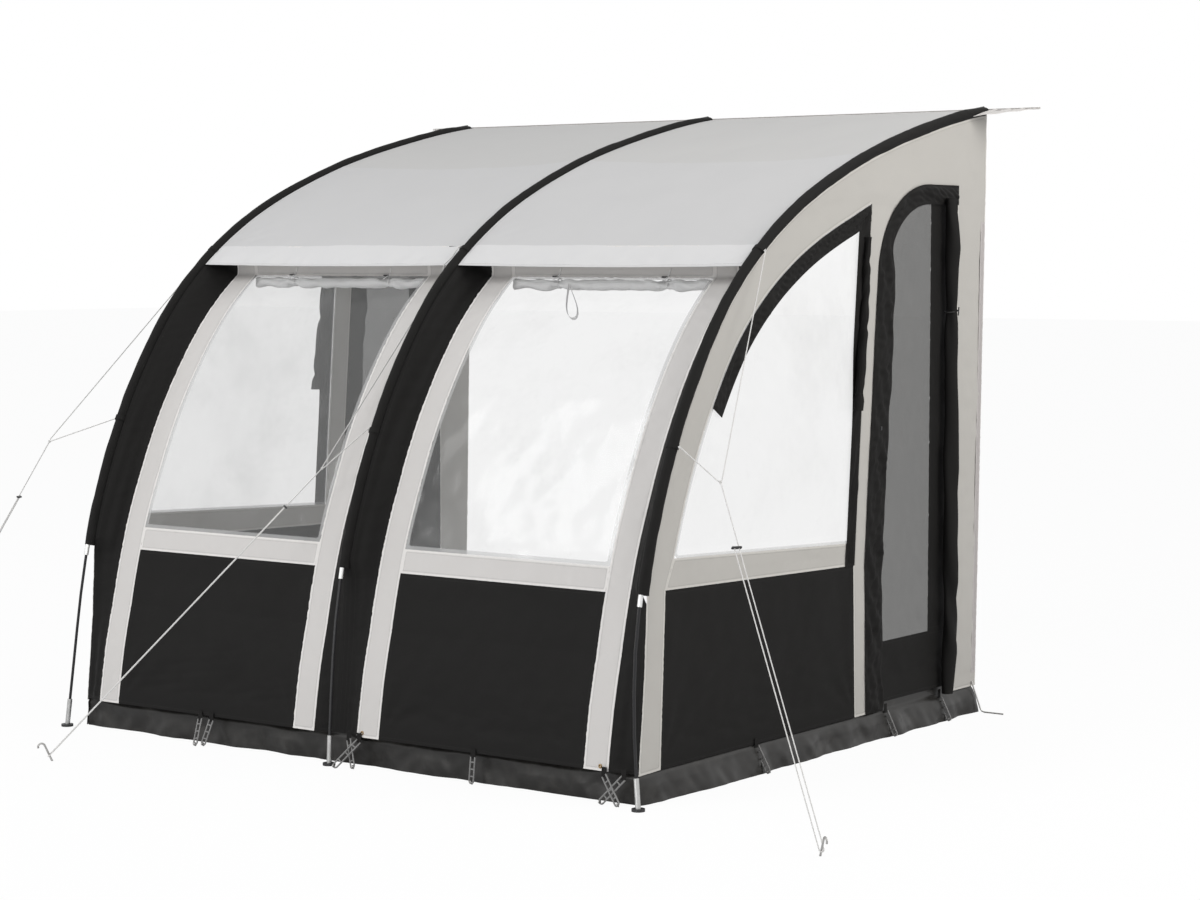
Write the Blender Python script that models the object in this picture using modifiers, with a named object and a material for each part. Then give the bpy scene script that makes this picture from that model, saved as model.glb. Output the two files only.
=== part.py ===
"""Caravan awning: a porch awning on three sprung fibreglass arches.

Black cloth sleeves carry the arches. Two roof panels run from the caravan rail to a front
hem, and below it each bay holds a panel of pale strips round a clear window and a black
lower panel. Black gussets draw those panels back from the arches. The side walls hold a
window, a blind, a door leaf and a rolled door flap. Mud skirts close the ground line, and
three guy ropes with sliders brace the arches.

Metres, +Z up. The rail side faces +Y and the front faces -Y. The origin is on the ground,
under the middle of the tent's box, so the pole shoes stand on z = 0.
"""

import math

import bmesh
import bpy
import numpy as np
from mathutils import Matrix, Vector

# Overall size
HALF_WIDTH = 1.285
OVERALL_DEPTH = 2.434
RAIL_HEIGHT = 2.36
GAP = 0.0003
CLOTH = 0.0015
OVERRUN = 0.01

# Arch line of the pole axis, as shares of its run and of the rail height
ARCH_SHARES = [
    (0.0, 0.0),
    (0.0053, 0.1055),
    (0.0190, 0.2314),
    (0.0538, 0.3749),
    (0.1300, 0.5482),
    (0.2403, 0.7008),
    (0.3884, 0.8143),
    (0.5968, 0.9060),
    (0.8372, 0.9708),
    (1.0, 1.0),
]
SPAN_SAMPLES = 48

# Poles, ferrules and shoes
POLE_RADIUS = 0.0055
FOOT_SPLAY = 0.045
FERRULE_AT = 0.690
FERRULE_LENGTH = 0.070
FERRULE_RADIUS = 0.0085
FERRULE_CHAMFER = 0.001
BORE_CLEARANCE = 0.0009
FOOT_LENGTH = 0.105
FOOT_RADIUS = 0.0090
FOOT_FLOOR = 0.022
SHOE_RADIUS = 0.0225
SHOE_HEIGHT = 0.009
JOINT_SPACING = 0.620
JOINT_LENGTH = 0.050
JOINT_SWELL_SHARE = 1.3
POLE_END_PLAY = 0.008
POLE_STEP = 0.150

# Sleeves
SLEEVE_RADIUS = 0.020
SLEEVE_SIDES = 8
SLEEVE_START = 0.730
SLEEVE_STEP = 0.115

# Roof and rail
HEM_AT = 1.950
VISOR_LAP = 0.120
ROOF_SAG = 0.022
ROOF_COLUMNS = 7
ROOF_STEP = 0.170
RAIL_TAIL = 0.030
BEAD_RADIUS = 0.0035
RAIL_OVERHANG = 0.225

# Front panels
GUSSET_WIDTH = 0.100
STRIP_WIDTH = 0.100
FRONT_BOTTOM = 0.108
LOWER_TOP = 0.700
BAND_HEIGHT = 0.090
HEADER_AT = 2.000
FRONT_STEP = 0.135
FRONT_SET = 0.103
FRONT_SET_SHARES = [
    (0.0, 0.22),
    (0.06, 0.28),
    (0.16, 0.45),
    (0.25, 0.68),
    (0.37, 0.80),
    (0.53, 0.92),
    (0.79, 0.97),
    (1.0, 1.0),
]
CORNER_SET = 0.066
CORNER_SET_SHARES = [
    (0.0, 0.80),
    (0.13, 0.82),
    (0.40, 1.0),
    (0.60, 1.0),
    (0.80, 0.60),
    (0.93, 0.15),
    (1.0, 0.0),
]
SLEEVE_TUCK = 0.006
TUCK_RUN = 0.055
PUCKER = 0.004
PUCKER_PITCH = 0.160

# Rolled curtains behind the window tops
CURTAIN_RADIUS = 0.0235
CURTAIN_AT = 1.985
CURTAIN_SIDES = 16
CURTAIN_TIE_SHARES = (0.30, 0.74)
CURTAIN_PINCH_SHARE = 0.72

# Side walls
WALL_BOTTOM = 0.100
REAR_TOP_MARGIN = 0.012
REAR_LEAN = 0.055
SIDE_BAND = 0.155
SIDE_BAND_GROWTH = 0.030
SIDE_BAND_GROWTH_SHARES = [(0.45, 0.0), (0.55, 0.3), (0.70, 1.0)]
SIDE_STRIP = 0.105
SIDE_STRIP_FLARE = 0.018
BAND_BOTTOM_FRONT = 0.690
BAND_BOTTOM_REAR = 0.660
BAND_TOP_FRONT = 0.798
BAND_TOP_REAR = 0.742
POST_SHARE = 0.09655
POST_AT = POST_SHARE * OVERALL_DEPTH
POST_LEAN = 0.090
POST_LEAN_SHARES = [(0.0, 0.0), (0.32, -0.2), (0.44, 0.0), (0.72, 0.5), (1.0, 1.05)]
POST_WIDTH = 0.100
DOOR_TOP_SHARE = 0.85805
DOOR_TOP = DOOR_TOP_SHARE * RAIL_HEIGHT
DOOR_RADIUS_SHARE = 0.158
DOOR_RADIUS = DOOR_RADIUS_SHARE * DOOR_TOP
DOOR_RADIUS_ACROSS_SHARE = 0.1438
DOOR_RADIUS_ACROSS = DOOR_RADIUS_ACROSS_SHARE * OVERALL_DEPTH
REAR_STRIP = 0.237
DOOR_REAR = OVERALL_DEPTH / 2 - REAR_STRIP
DOOR_SILL = 0.130
LEAF_CLEARANCE = 0.003
LEAF_HINGE_CLEARANCE = 0.0009
DOOR_ROWS = 8
CORNER_ROWS = 7

# Blind and door flap
BLIND_FOOT_AT = 1.42
BLIND_WIDTH = 0.065
BLIND_POST_WIDTH = 0.080
BLIND_ROLL_RADIUS = 0.024
BLIND_ROLL_TOP_SHARE = 0.9136
BLIND_ROLL_BOTTOM_SHARE = 0.605
BLIND_ROLL_SET = 0.040
TRIM_OUT = 0.025
TRIM_IN = 0.050
FLAP_ROLL_RADIUS = 0.047
FLAP_ROLL_FLAT_SHARE = 0.72
FLAP_ROLL_INSET = 0.095
FLAP_ROLL_AT = DOOR_REAR - FLAP_ROLL_INSET
FLAP_ROLL_BOTTOM = 0.106
FLAP_PINCH_SHARES = [(0.0, 0.72), (0.10, 1.0), (0.45, 0.98), (0.78, 0.80), (0.90, 1.0), (1.0, 0.62)]

# Zip pull
ZIP_HEIGHT = 1.150
ZIP_BODY = (0.006, 0.011, 0.014)
ZIP_TAB = (0.0022, 0.006, 0.026)

# Skirts
SKIRT_TOP = 0.125
SKIRT_FLARE = 0.028
FRONT_SKIRT_FLARE = 0.006
SKIRT_WAVE = 0.005
SKIRT_PITCH = 0.310
SKIRT_COLUMNS = 30
SKIRT_ROW_SHARES = (0.0, 0.2, 0.55, 1.0)
SKIRT_FLARE_SHARES = (0.0, 0.0, 0.55, 1.0)
SKIRT_END_MARGIN = 0.010
SKIRT_CORNER_SET = 0.050
SKIRT_REAR_MARGIN = 0.020

# Guy ropes
ROPE_RADIUS = 0.002
ROPE_STANDOFF = 0.008
OUTER_LOOP_TURN = math.radians(90)
CENTER_LOOP_TURN = math.radians(-45)
UPPER_LOOP_AT = 2.035
LOWER_LOOP_AT = 1.200
STRAND_SPACING = 0.016
RING_TURN_RADIUS = 0.009
RING_TURN_ANGLE = math.radians(24)
LINE_START_GAP = 0.0028
ROPE_POINTS = 14
RIGHT_RING = (1.457, -0.918, 1.053)
RIGHT_PEG = (2.150, -1.400, 0.0)
RIGHT_SLIDER_ALONG = 0.255
CENTER_RING = (-0.188, -1.009, 1.026)
CENTER_PEG = (-0.844, -1.726, 0.0)
CENTER_SLIDER_ALONG = 0.190
LEFT_RING = (-1.617, -1.000, 1.065)
LEFT_PEG = (-2.150, -1.300, 0.0)
LEFT_SLIDER_ALONG = 0.255
LOOP_HEIGHT = 0.022
SLIDER_LENGTH = 0.036
SLIDER_WIDTH = 0.013
SLIDER_THICKNESS = 0.007
SLIDER_HOLE_RADIUS = 0.0028
SLIDER_ROUND = 0.0025

# Pegs
PEG_RADIUS = 0.0035
PEG_CLEARANCE = 0.0007
PEG_HEIGHT = 0.062
PEG_TILT = math.radians(24)
PEG_HOOK_RADIUS = 0.012
CORNER_PEG_RADIUS = 0.003
CORNER_PEG_HEIGHT = 0.120
CORNER_PEG_FOOT = 0.095
CORNER_PEG_LEAN = 0.045
CORNER_PEG_BEND = 0.012
CORNER_PEG_INSET = 0.030

TURN_STEPS = 16
BEND_POINTS = 5
FINE_STEP = 0.001

PARTS = None
CUTTERS = None

COLOURS = {
    "roof cloth": ((0.62, 0.62, 0.63), 0.65, 0.0),
    "pale cloth": ((0.60, 0.59, 0.57), 0.65, 0.0),
    "wall cloth": ((0.55, 0.53, 0.50), 0.70, 0.0),
    "black cloth": ((0.022, 0.022, 0.023), 0.62, 0.0),
    "clear film": ((0.75, 0.78, 0.78), 0.08, 0.0),
    "mesh screen": ((0.10, 0.10, 0.10), 0.80, 0.0),
    "skirt film": ((0.030, 0.028, 0.027), 0.28, 0.0),
    "fibreglass": ((0.025, 0.025, 0.026), 0.35, 0.0),
    "aluminium": ((0.78, 0.78, 0.78), 0.30, 1.0),
    "steel": ((0.45, 0.45, 0.46), 0.35, 1.0),
    "rope": ((0.80, 0.79, 0.76), 0.80, 0.0),
    "black plastic": ((0.03, 0.03, 0.03), 0.45, 0.0),
}


# Scene, materials and objects


def clear_scene():
    """Empty the file and make the two collections."""
    global PARTS, CUTTERS
    for old in list(bpy.data.objects):
        bpy.data.objects.remove(old, do_unlink=True)
    PARTS = bpy.data.collections.new("caravan_awning")
    CUTTERS = bpy.data.collections.new("cutters")
    for collection in (PARTS, CUTTERS):
        bpy.context.scene.collection.children.link(collection)


def material(name):
    """The Principled material of one finish, made once."""
    made = bpy.data.materials.get(name)
    if made is None:
        colour, roughness, metallic = COLOURS[name]
        made = bpy.data.materials.new(name)
        made.use_nodes = True
        shader = made.node_tree.nodes["Principled BSDF"]
        shader.inputs["Base Color"].default_value = (*colour, 1.0)
        shader.inputs["Roughness"].default_value = roughness
        shader.inputs["Metallic"].default_value = metallic
        made.diffuse_color = (*colour, 1.0)
    return made


def add_part(name, mesh, finish, matrix=None):
    """Link a mesh as one named piece."""
    piece = bpy.data.objects.new(name, mesh)
    if matrix is not None:
        piece.matrix_world = matrix
    mesh.materials.clear()
    mesh.materials.append(material(finish))
    PARTS.objects.link(piece)
    return piece


def make_cutter(piece):
    """Move a piece to the cutters, hidden from the render."""
    for collection in list(piece.users_collection):
        collection.objects.unlink(piece)
    CUTTERS.objects.link(piece)
    piece.hide_render = True
    piece.display_type = "WIRE"
    return piece


def combine(piece, other, operation):
    """Cut or join a piece with another, exactly."""
    change = piece.modifiers.new(operation.lower(), "BOOLEAN")
    change.operation = operation
    change.solver = "EXACT"
    change.object = make_cutter(other)


def smooth_shading(piece, angle=math.radians(40)):
    """Shade a round piece smooth, with its edges sharp."""
    piece.data.shade_smooth()
    piece.data.set_sharp_from_angle(angle=angle)
    return piece


def mesh_from_curve(piece):
    """A welded mesh object in place of a curve object."""
    graph = bpy.context.evaluated_depsgraph_get()
    mesh = bpy.data.meshes.new_from_object(piece.evaluated_get(graph))
    mesh.transform(piece.matrix_world)
    shape = bmesh.new()
    shape.from_mesh(mesh)
    bmesh.ops.remove_doubles(shape, verts=shape.verts, dist=GAP / 30)
    bmesh.ops.dissolve_degenerate(shape, edges=shape.edges, dist=GAP / 30)
    shape.to_mesh(mesh)
    shape.free()
    name = piece.name
    finish = piece.data.materials[0].name
    bpy.data.objects.remove(piece, do_unlink=True)
    return add_part(name, mesh, finish)


def tube(name, points, radius, finish, sides=8, caps=True, swell_shares=None):
    """A round bar or tube along points, as a curve with a bevel."""
    curve = bpy.data.curves.new(name, "CURVE")
    curve.dimensions = "3D"
    curve.bevel_depth = radius
    curve.bevel_resolution = (sides - 4) // 2
    curve.use_fill_caps = caps
    spline = curve.splines.new("POLY")
    spline.points.add(len(points) - 1)
    for index, point in enumerate(points):
        spline.points[index].co = (*point, 1.0)
        if swell_shares is not None:
            spline.points[index].radius = swell_shares[index]
    curve.materials.append(material(finish))
    piece = bpy.data.objects.new(name, curve)
    PARTS.objects.link(piece)
    bpy.context.view_layer.update()
    return smooth_shading(mesh_from_curve(piece))


def flat_piece(name, outlines, side, inner_face, thickness, finish):
    """A flat sheet in a side wall's plane, from outlines in y and z.

    inner_face is the distance from the middle plane to the sheet's inner face.
    """
    curve = bpy.data.curves.new(name, "CURVE")
    curve.dimensions = "2D"
    curve.fill_mode = "BOTH"
    curve.extrude = thickness / 2
    for outline in outlines:
        spline = curve.splines.new("POLY")
        spline.points.add(len(outline) - 1)
        for index, (y, z) in enumerate(outline):
            spline.points[index].co = (y, z, 0.0, 1.0)
        spline.use_cyclic_u = True
    curve.materials.append(material(finish))
    piece = bpy.data.objects.new(name, curve)
    across = side * (inner_face + thickness / 2)
    piece.matrix_world = Matrix(((0, 0, 1, across), (1, 0, 0, 0), (0, 1, 0, 0), (0, 0, 0, 1)))
    PARTS.objects.link(piece)
    bpy.context.view_layer.update()
    return mesh_from_curve(piece)


def shell(name, outer, inner, finish, cells=None):
    """A cloth sheet between two grids of points, closed round its edges.

    cells says which cells of the grid the cloth covers.
    """
    outer = np.asarray(outer, float)
    inner = np.asarray(inner, float)
    rows, columns = outer.shape[:2]
    if cells is None:
        cells = np.ones((rows - 1, columns - 1), bool)
    half = rows * columns
    points = np.concatenate([outer.reshape(-1, 3), inner.reshape(-1, 3)])

    def covered(i, j):
        return 0 <= i < rows - 1 and 0 <= j < columns - 1 and bool(cells[i][j])

    faces = []
    for i in range(rows - 1):
        for j in range(columns - 1):
            if not covered(i, j):
                continue
            a = i * columns + j
            b, c, d = a + 1, a + columns + 1, a + columns
            faces.append((a, b, c, d))
            faces.append((d + half, c + half, b + half, a + half))
            for beside, p, q in (((i - 1, j), a, b), ((i, j + 1), b, c), ((i + 1, j), c, d), ((i, j - 1), d, a)):
                if not covered(*beside):
                    faces.append((q, p, p + half, q + half))
    mesh = bpy.data.meshes.new(name)
    mesh.from_pydata(points.tolist(), [], faces)
    shape = bmesh.new()
    shape.from_mesh(mesh)
    bmesh.ops.delete(shape, geom=[v for v in shape.verts if not v.link_faces], context="VERTS")
    bmesh.ops.recalc_face_normals(shape, faces=shape.faces)
    bmesh.ops.triangulate(shape, faces=shape.faces)
    shape.to_mesh(mesh)
    shape.free()
    return smooth_shading(add_part(name, mesh, finish), math.radians(50))


def turned(name, profile, finish, matrix):
    """A turned piece: a closed profile of radius and height with a Screw."""
    mesh = bpy.data.meshes.new(name)
    points = [(radius, 0.0, height) for radius, height in profile]
    edges = [(i, i + 1) for i in range(len(points) - 1)]
    if profile[0][0] > 0:
        edges.append((len(points) - 1, 0))
    mesh.from_pydata(points, edges, [])
    piece = add_part(name, mesh, finish, matrix)
    screw = piece.modifiers.new("turn", "SCREW")
    screw.steps = TURN_STEPS
    screw.render_steps = TURN_STEPS
    screw.use_merge_vertices = True
    screw.merge_threshold = GAP / 30
    screw.use_normal_calculate = True
    return piece


def box_mesh(name, size, centre, round_off=0.0):
    """A box as a mesh, with its edges rounded if asked."""
    mesh = bpy.data.meshes.new(name)
    shape = bmesh.new()
    bmesh.ops.create_cube(shape, size=1.0)
    bmesh.ops.scale(shape, vec=size, verts=shape.verts)
    bmesh.ops.translate(shape, vec=centre, verts=shape.verts)
    if round_off > 0:
        bmesh.ops.bevel(
            shape,
            geom=shape.edges[:],
            offset=round_off,
            offset_type="OFFSET",
            segments=1,
            profile=0.5,
            affect="EDGES",
        )
    shape.to_mesh(mesh)
    shape.free()
    return mesh


def cylinder_mesh(name, radius, height, steps=TURN_STEPS):
    """An upright cylinder as a mesh, standing on its own origin."""
    mesh = bpy.data.meshes.new(name)
    shape = bmesh.new()
    bmesh.ops.create_cone(
        shape, cap_ends=True, segments=steps, radius1=radius, radius2=radius, depth=height
    )
    bmesh.ops.translate(shape, vec=(0, 0, height / 2), verts=shape.verts)
    shape.to_mesh(mesh)
    shape.free()
    return mesh


# Curves that everything follows


def smooth_curve(points, per_span):
    """Points on a smooth curve through the given ones, by cubic Hermite spans."""
    points = np.asarray(points, float)
    steps = np.sqrt(np.linalg.norm(np.diff(points, axis=0), axis=1))
    knots = np.concatenate([[0.0], np.cumsum(steps)])
    slopes = np.gradient(points, knots, axis=0, edge_order=min(2, len(points) - 1))
    u = np.linspace(0, 1, per_span, endpoint=False)[:, None]
    spans = []
    for i, width in enumerate(np.diff(knots)):
        spans.append(
            (1 + 2 * u) * (1 - u) ** 2 * points[i]
            + u * (1 - u) ** 2 * width * slopes[i]
            + u * u * (3 - 2 * u) * points[i + 1]
            + u * u * (u - 1) * width * slopes[i + 1]
        )
    return np.concatenate([*spans, points[-1:]])


FRONT_EDGE_Y = -OVERALL_DEPTH / 2
RAIL_FACE_Y = OVERALL_DEPTH / 2
FOOT_Y = FRONT_EDGE_Y + SHOE_RADIUS
ARCH = smooth_curve(
    [(FOOT_Y + run * (RAIL_FACE_Y - FOOT_Y), rise * RAIL_HEIGHT) for run, rise in ARCH_SHARES],
    SPAN_SAMPLES,
)
ARCH_S = np.concatenate([[0.0], np.cumsum(np.linalg.norm(np.diff(ARCH, axis=0), axis=1))])
ARCH_TANGENT = np.gradient(ARCH, ARCH_S, axis=0)
ARCH_LENGTH = float(ARCH_S[-1])


def arch_at(along, depth=0.0):
    """The y and z at a distance along the pole, set back from its axis by depth."""
    y, z = (float(np.interp(along, ARCH_S, ARCH[:, k])) for k in (0, 1))
    ty, tz = (float(np.interp(along, ARCH_S, ARCH_TANGENT[:, k])) for k in (0, 1))
    size = math.hypot(ty, tz)
    return y + depth * tz / size, z - depth * ty / size


def table_at(shares, share, size):
    """A depth read from a table of shares."""
    return size * float(np.interp(share, [a for a, _ in shares], [b for _, b in shares]))


def steps_between(low, high, step):
    """Even distances from low to high, no further apart than step."""
    return list(np.linspace(low, high, 1 + max(1, math.ceil((high - low) / step))))


SLEEVE_SET = SLEEVE_RADIUS - CLOTH - POLE_RADIUS * JOINT_SWELL_SHARE - GAP
ROOF_END = ARCH_LENGTH - RAIL_TAIL
ROOF_SET = SLEEVE_SET
SLEEVE_END = ROOF_END - GAP
SLEEVE_ROWS = steps_between(SLEEVE_START, SLEEVE_END, SLEEVE_STEP)
SEAM_OFFSET = SLEEVE_RADIUS + GAP
WALL_SET = SLEEVE_SET + SLEEVE_RADIUS + GAP
WING_SET = ROOF_SET + CLOTH + GAP
WALL_INNER = HALF_WIDTH - CLOTH / 2
OVERLAY_INNER = HALF_WIDTH + CLOTH / 2 + GAP
SIDES = {"left": -1, "right": 1}
ARCHES = {"left": -1, "center": 0, "right": 1}


def pole_point(side, along):
    """A point of the pole's axis; it runs straight inside the foot."""
    reach = max(along, FOOT_LENGTH)
    y, z = arch_at(reach)
    share = max(0.0, 1 - reach / FERRULE_AT)
    point = Vector((side * (HALF_WIDTH + FOOT_SPLAY * share * share), y, z))
    if along >= FOOT_LENGTH:
        return point
    return point + pole_direction(side, FOOT_LENGTH) * (along - FOOT_LENGTH)


def pole_direction(side, along):
    """The pole's direction, upwards."""
    return (pole_point(side, along + FINE_STEP) - pole_point(side, along)).normalized()


def upright_on(point, direction):
    """The matrix that puts a piece's own Z along a direction at a point."""
    return Matrix.Translation(point) @ direction.to_track_quat("Z", "Y").to_matrix().to_4x4()


# Poles and their fittings


def foot_base(side):
    """Where the pole's line meets the ground."""
    start = pole_point(side, FOOT_LENGTH)
    direction = pole_direction(side, FOOT_LENGTH)
    return start - direction * (start.z / direction.z)


def make_foot(name, side):
    """An aluminium foot tube, closed below, on a round flat shoe."""
    base = foot_base(side)
    direction = pole_direction(side, FOOT_LENGTH)
    length = (pole_point(side, FOOT_LENGTH) - base).length - SHOE_HEIGHT / 2
    bore = POLE_RADIUS + BORE_CLEARANCE
    profile = [
        (0.0, FOOT_FLOOR),
        (bore, FOOT_FLOOR),
        (bore, length),
        (FOOT_RADIUS - FERRULE_CHAMFER, length),
        (FOOT_RADIUS, length - FERRULE_CHAMFER),
        (FOOT_RADIUS, 0.0),
        (0.0, 0.0),
    ]
    start = base + direction * (SHOE_HEIGHT / 2)
    piece = turned(name, profile, "aluminium", upright_on(start, direction))
    shoe = add_part(name + "_shoe", cylinder_mesh(name + "_shoe", SHOE_RADIUS, SHOE_HEIGHT), "black plastic")
    shoe.location = (base.x, base.y, 0.0)
    combine(piece, shoe, "UNION")
    return length


def make_poles(name, side):
    """The foot, the lower pole, its ferrule, the upper pole and the sleeve of one arch."""
    make_foot("foot_" + name, side)
    low_end = FOOT_LENGTH - (FOOT_LENGTH - SHOE_HEIGHT / 2 - FOOT_FLOOR) + POLE_END_PLAY
    half = FERRULE_LENGTH / 2
    entry = FERRULE_AT - half - OVERRUN
    along = [low_end, *steps_between(FOOT_LENGTH, entry, POLE_STEP), FERRULE_AT - GAP]
    tube("lower_pole_" + name, [pole_point(side, s) for s in along], POLE_RADIUS, "fibreglass")

    bore = POLE_RADIUS + BORE_CLEARANCE
    profile = [
        (bore, half),
        (FERRULE_RADIUS - FERRULE_CHAMFER, half),
        (FERRULE_RADIUS, half - FERRULE_CHAMFER),
        (FERRULE_RADIUS, FERRULE_CHAMFER - half),
        (FERRULE_RADIUS - FERRULE_CHAMFER, -half),
        (bore, -half),
    ]
    middle = pole_point(side, FERRULE_AT)
    turned("ferrule_" + name, profile, "aluminium", upright_on(middle, pole_direction(side, FERRULE_AT)))

    make_upper_pole(name, side)
    ring = [(side * HALF_WIDTH, *arch_at(s, SLEEVE_SET)) for s in SLEEVE_ROWS]
    sleeve = tube("sleeve_" + name, ring, SLEEVE_RADIUS, "black cloth", SLEEVE_SIDES, caps=False)
    wall = sleeve.modifiers.new("cloth", "SOLIDIFY")
    wall.thickness = CLOTH
    wall.offset = -1.0


def make_upper_pole(name, side):
    """The pole in the sleeve, with the thicker metal joint of each section."""
    last = ROOF_END - POLE_END_PLAY
    along = [(s, 1.0) for s in [*SLEEVE_ROWS, last] if s <= last]
    joint = FERRULE_AT + JOINT_SPACING
    while joint < ROOF_END - JOINT_LENGTH:
        low, high = joint - JOINT_LENGTH / 2, joint + JOINT_LENGTH / 2
        along = [(s, r) for s, r in along if s < low - JOINT_LENGTH / 2 or s > high + JOINT_LENGTH / 2]
        along += [(low - FERRULE_CHAMFER, 1.0), (low, JOINT_SWELL_SHARE)]
        along += [(high, JOINT_SWELL_SHARE), (high + FERRULE_CHAMFER, 1.0)]
        joint += JOINT_SPACING
    along = [(FERRULE_AT + GAP, 1.0), *sorted(along)]
    knots = [FERRULE_AT + GAP, *SLEEVE_ROWS]
    line = np.array([pole_point(side, s) for s in knots])
    points = [[float(np.interp(s, knots, line[:, k])) for k in range(3)] for s, _ in along]
    sizes = [r for _, r in along]
    tube("upper_pole_" + name, points, POLE_RADIUS, "fibreglass", SLEEVE_SIDES, swell_shares=sizes)


# Roof and rail


def roof_set(share_across, along):
    """How far the roof cloth lies behind the pole's axis; it sags between the arches."""
    start = HEM_AT + VISOR_LAP
    if along <= start:
        return ROOF_SET
    run = (along - start) / (ROOF_END - start)
    return ROOF_SET + ROOF_SAG * 4 * share_across * (1 - share_across) * math.sin(math.pi * run)


def make_roof(name, low_x, high_x):
    """One roof panel, from the rail's tail to its front hem."""
    lap = [s for s in front_rows() if HEM_AT <= s < HEM_AT + VISOR_LAP]
    rows = [*lap, *steps_between(HEM_AT + VISOR_LAP, ROOF_END - GAP, ROOF_STEP)]
    shares = np.linspace(0, 1, ROOF_COLUMNS)
    grids = []
    for extra in (0.0, CLOTH):
        grids.append(
            [
                [
                    (low_x + share * (high_x - low_x), *arch_at(s, roof_set(share, s) + extra))
                    for share in shares
                ]
                for s in rows
            ]
        )
    shell(name, *grids, "roof cloth")


def make_rail_strip():
    """The bead that slides in the caravan's rail, with its tail and end wings."""
    start = Vector((0, *arch_at(ROOF_END, ROOF_SET)))
    under = Vector((0, *arch_at(ROOF_END, ROOF_SET + CLOTH)))
    centre_y = RAIL_FACE_Y - BEAD_RADIUS
    slope = (start.z - arch_at(ROOF_END - RAIL_TAIL, ROOF_SET)[1]) / (
        start.y - arch_at(ROOF_END - RAIL_TAIL, ROOF_SET)[0]
    )
    middle = (start + under) / 2
    centre_z = middle.z + slope * (centre_y - middle.y)
    reach = HALF_WIDTH + RAIL_OVERHANG
    bead = tube(
        "rail_strip",
        [(-reach, centre_y, centre_z), (reach, centre_y, centre_z)],
        BEAD_RADIUS,
        "pale cloth",
        sides=12,
    )
    full = HALF_WIDTH + SEAM_OFFSET
    tip_share = BEAD_RADIUS / (centre_y - start.y)
    columns = [(-reach, tip_share), (-full, 1.0), (full, 1.0), (reach, tip_share)]
    grids = []
    for edge in (start, under):
        end = Vector((0, centre_y, centre_z)) + (edge - middle)
        near = [(x, *((edge - end) * share + end).yz) for x, share in columns]
        far = [(x, *end.yz) for x, _ in columns]
        grids.append([near, far])
    tail = shell("rail_tail", *grids, "pale cloth")
    combine(bead, tail, "UNION")


# Front panels


def front_set(along):
    """How far the front panels lie behind the pole's axis."""
    return table_at(FRONT_SET_SHARES, min(1.0, along / HEM_AT), FRONT_SET)


def closing_set(along, depth):
    """Draw a depth forward under the roof's visor, at the top of the front."""
    run = (along - HEADER_AT) / (HEM_AT + VISOR_LAP - HEADER_AT)
    run = min(1.0, max(0.0, run))
    return depth + (WING_SET - depth) * run * run * (3 - 2 * run)


def corner_set(along):
    """How far the wall's front edge lies behind the pole's axis."""
    share = min(1.0, along / SLEEVE_START)
    return WALL_SET + table_at(CORNER_SET_SHARES, share, CORNER_SET - WALL_SET)


def front_rows(*wanted):
    """The distances along the pole that all front pieces share, with the wanted ones."""
    top = HEM_AT + VISOR_LAP
    fixed = [
        FRONT_BOTTOM,
        LOWER_TOP,
        LOWER_TOP + GAP,
        LOWER_TOP + BAND_HEIGHT,
        LOWER_TOP + BAND_HEIGHT + GAP,
        HEM_AT,
        CURTAIN_AT,
        HEADER_AT,
        HEADER_AT + GAP,
        top,
    ]
    low = steps_between(FRONT_BOTTOM, LOWER_TOP, FRONT_STEP)[1:-1]
    high = steps_between(LOWER_TOP + BAND_HEIGHT + GAP, HEM_AT, FRONT_STEP)[1:-1]
    rows = sorted({*fixed, *low, *high, *wanted})
    return rows


def front_point(x, along, depth):
    """A point of the front at x, at a distance along the pole and a depth behind it."""
    return (x, *arch_at(along, depth))


def front_grid(columns, rows, extra=0.0):
    """A grid of the front panel's surface."""
    return [[front_point(x, s, closing_set(s, front_set(s)) + extra) for x in columns] for s in rows]


def make_front_bay(name, low_x, high_x):
    """The pale frame, window and lower panel of one bay, and its rolled curtain."""
    outer_low, inner_low = low_x + GUSSET_WIDTH, low_x + GUSSET_WIDTH + STRIP_WIDTH
    inner_high, outer_high = high_x - GUSSET_WIDTH - STRIP_WIDTH, high_x - GUSSET_WIDTH
    rows = front_rows()
    band_low, band_high = LOWER_TOP + GAP, LOWER_TOP + BAND_HEIGHT
    header = HEADER_AT + GAP
    columns = [outer_low, inner_low, inner_high, outer_high]
    cells = []
    for s in rows[:-1]:
        crossbar = band_low <= s < band_high or s >= header
        cells.append([True, crossbar, True])
    shell(
        "front_frame_" + name,
        front_grid(columns, rows),
        front_grid(columns, rows, CLOTH),
        "pale cloth",
        cells,
    )
    clear = [inner_low + GAP, inner_high - GAP]
    glass_rows = [s for s in rows if band_high + GAP <= s <= HEADER_AT]
    shell("front_window_" + name, front_grid(clear, glass_rows), front_grid(clear, glass_rows, CLOTH), "clear film")
    make_lower_panel(name, clear, [s for s in rows if s <= LOWER_TOP])
    make_curtain(name, clear)


def make_lower_panel(name, ends, rows):
    """The black panel below a front window, with the soft folds of hung cloth."""
    count = max(2, round((ends[1] - ends[0]) / (PUCKER_PITCH / 2)))
    columns = np.linspace(ends[0], ends[1], count + 1)
    grids = []
    for extra in (0.0, CLOTH):
        grid = []
        for i, s in enumerate(rows):
            line = []
            for j, x in enumerate(columns):
                inside = 0 < i < len(rows) - 1 and 0 < j < count
                fold = PUCKER * (0.5 - 0.5 * math.cos(math.pi * j)) * (i % 2) if inside else 0.0
                line.append(front_point(x, s, front_set(s) + fold + extra))
            grid.append(line)
        grids.append(grid)
    shell("front_lower_" + name, *grids, "black cloth")


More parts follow.
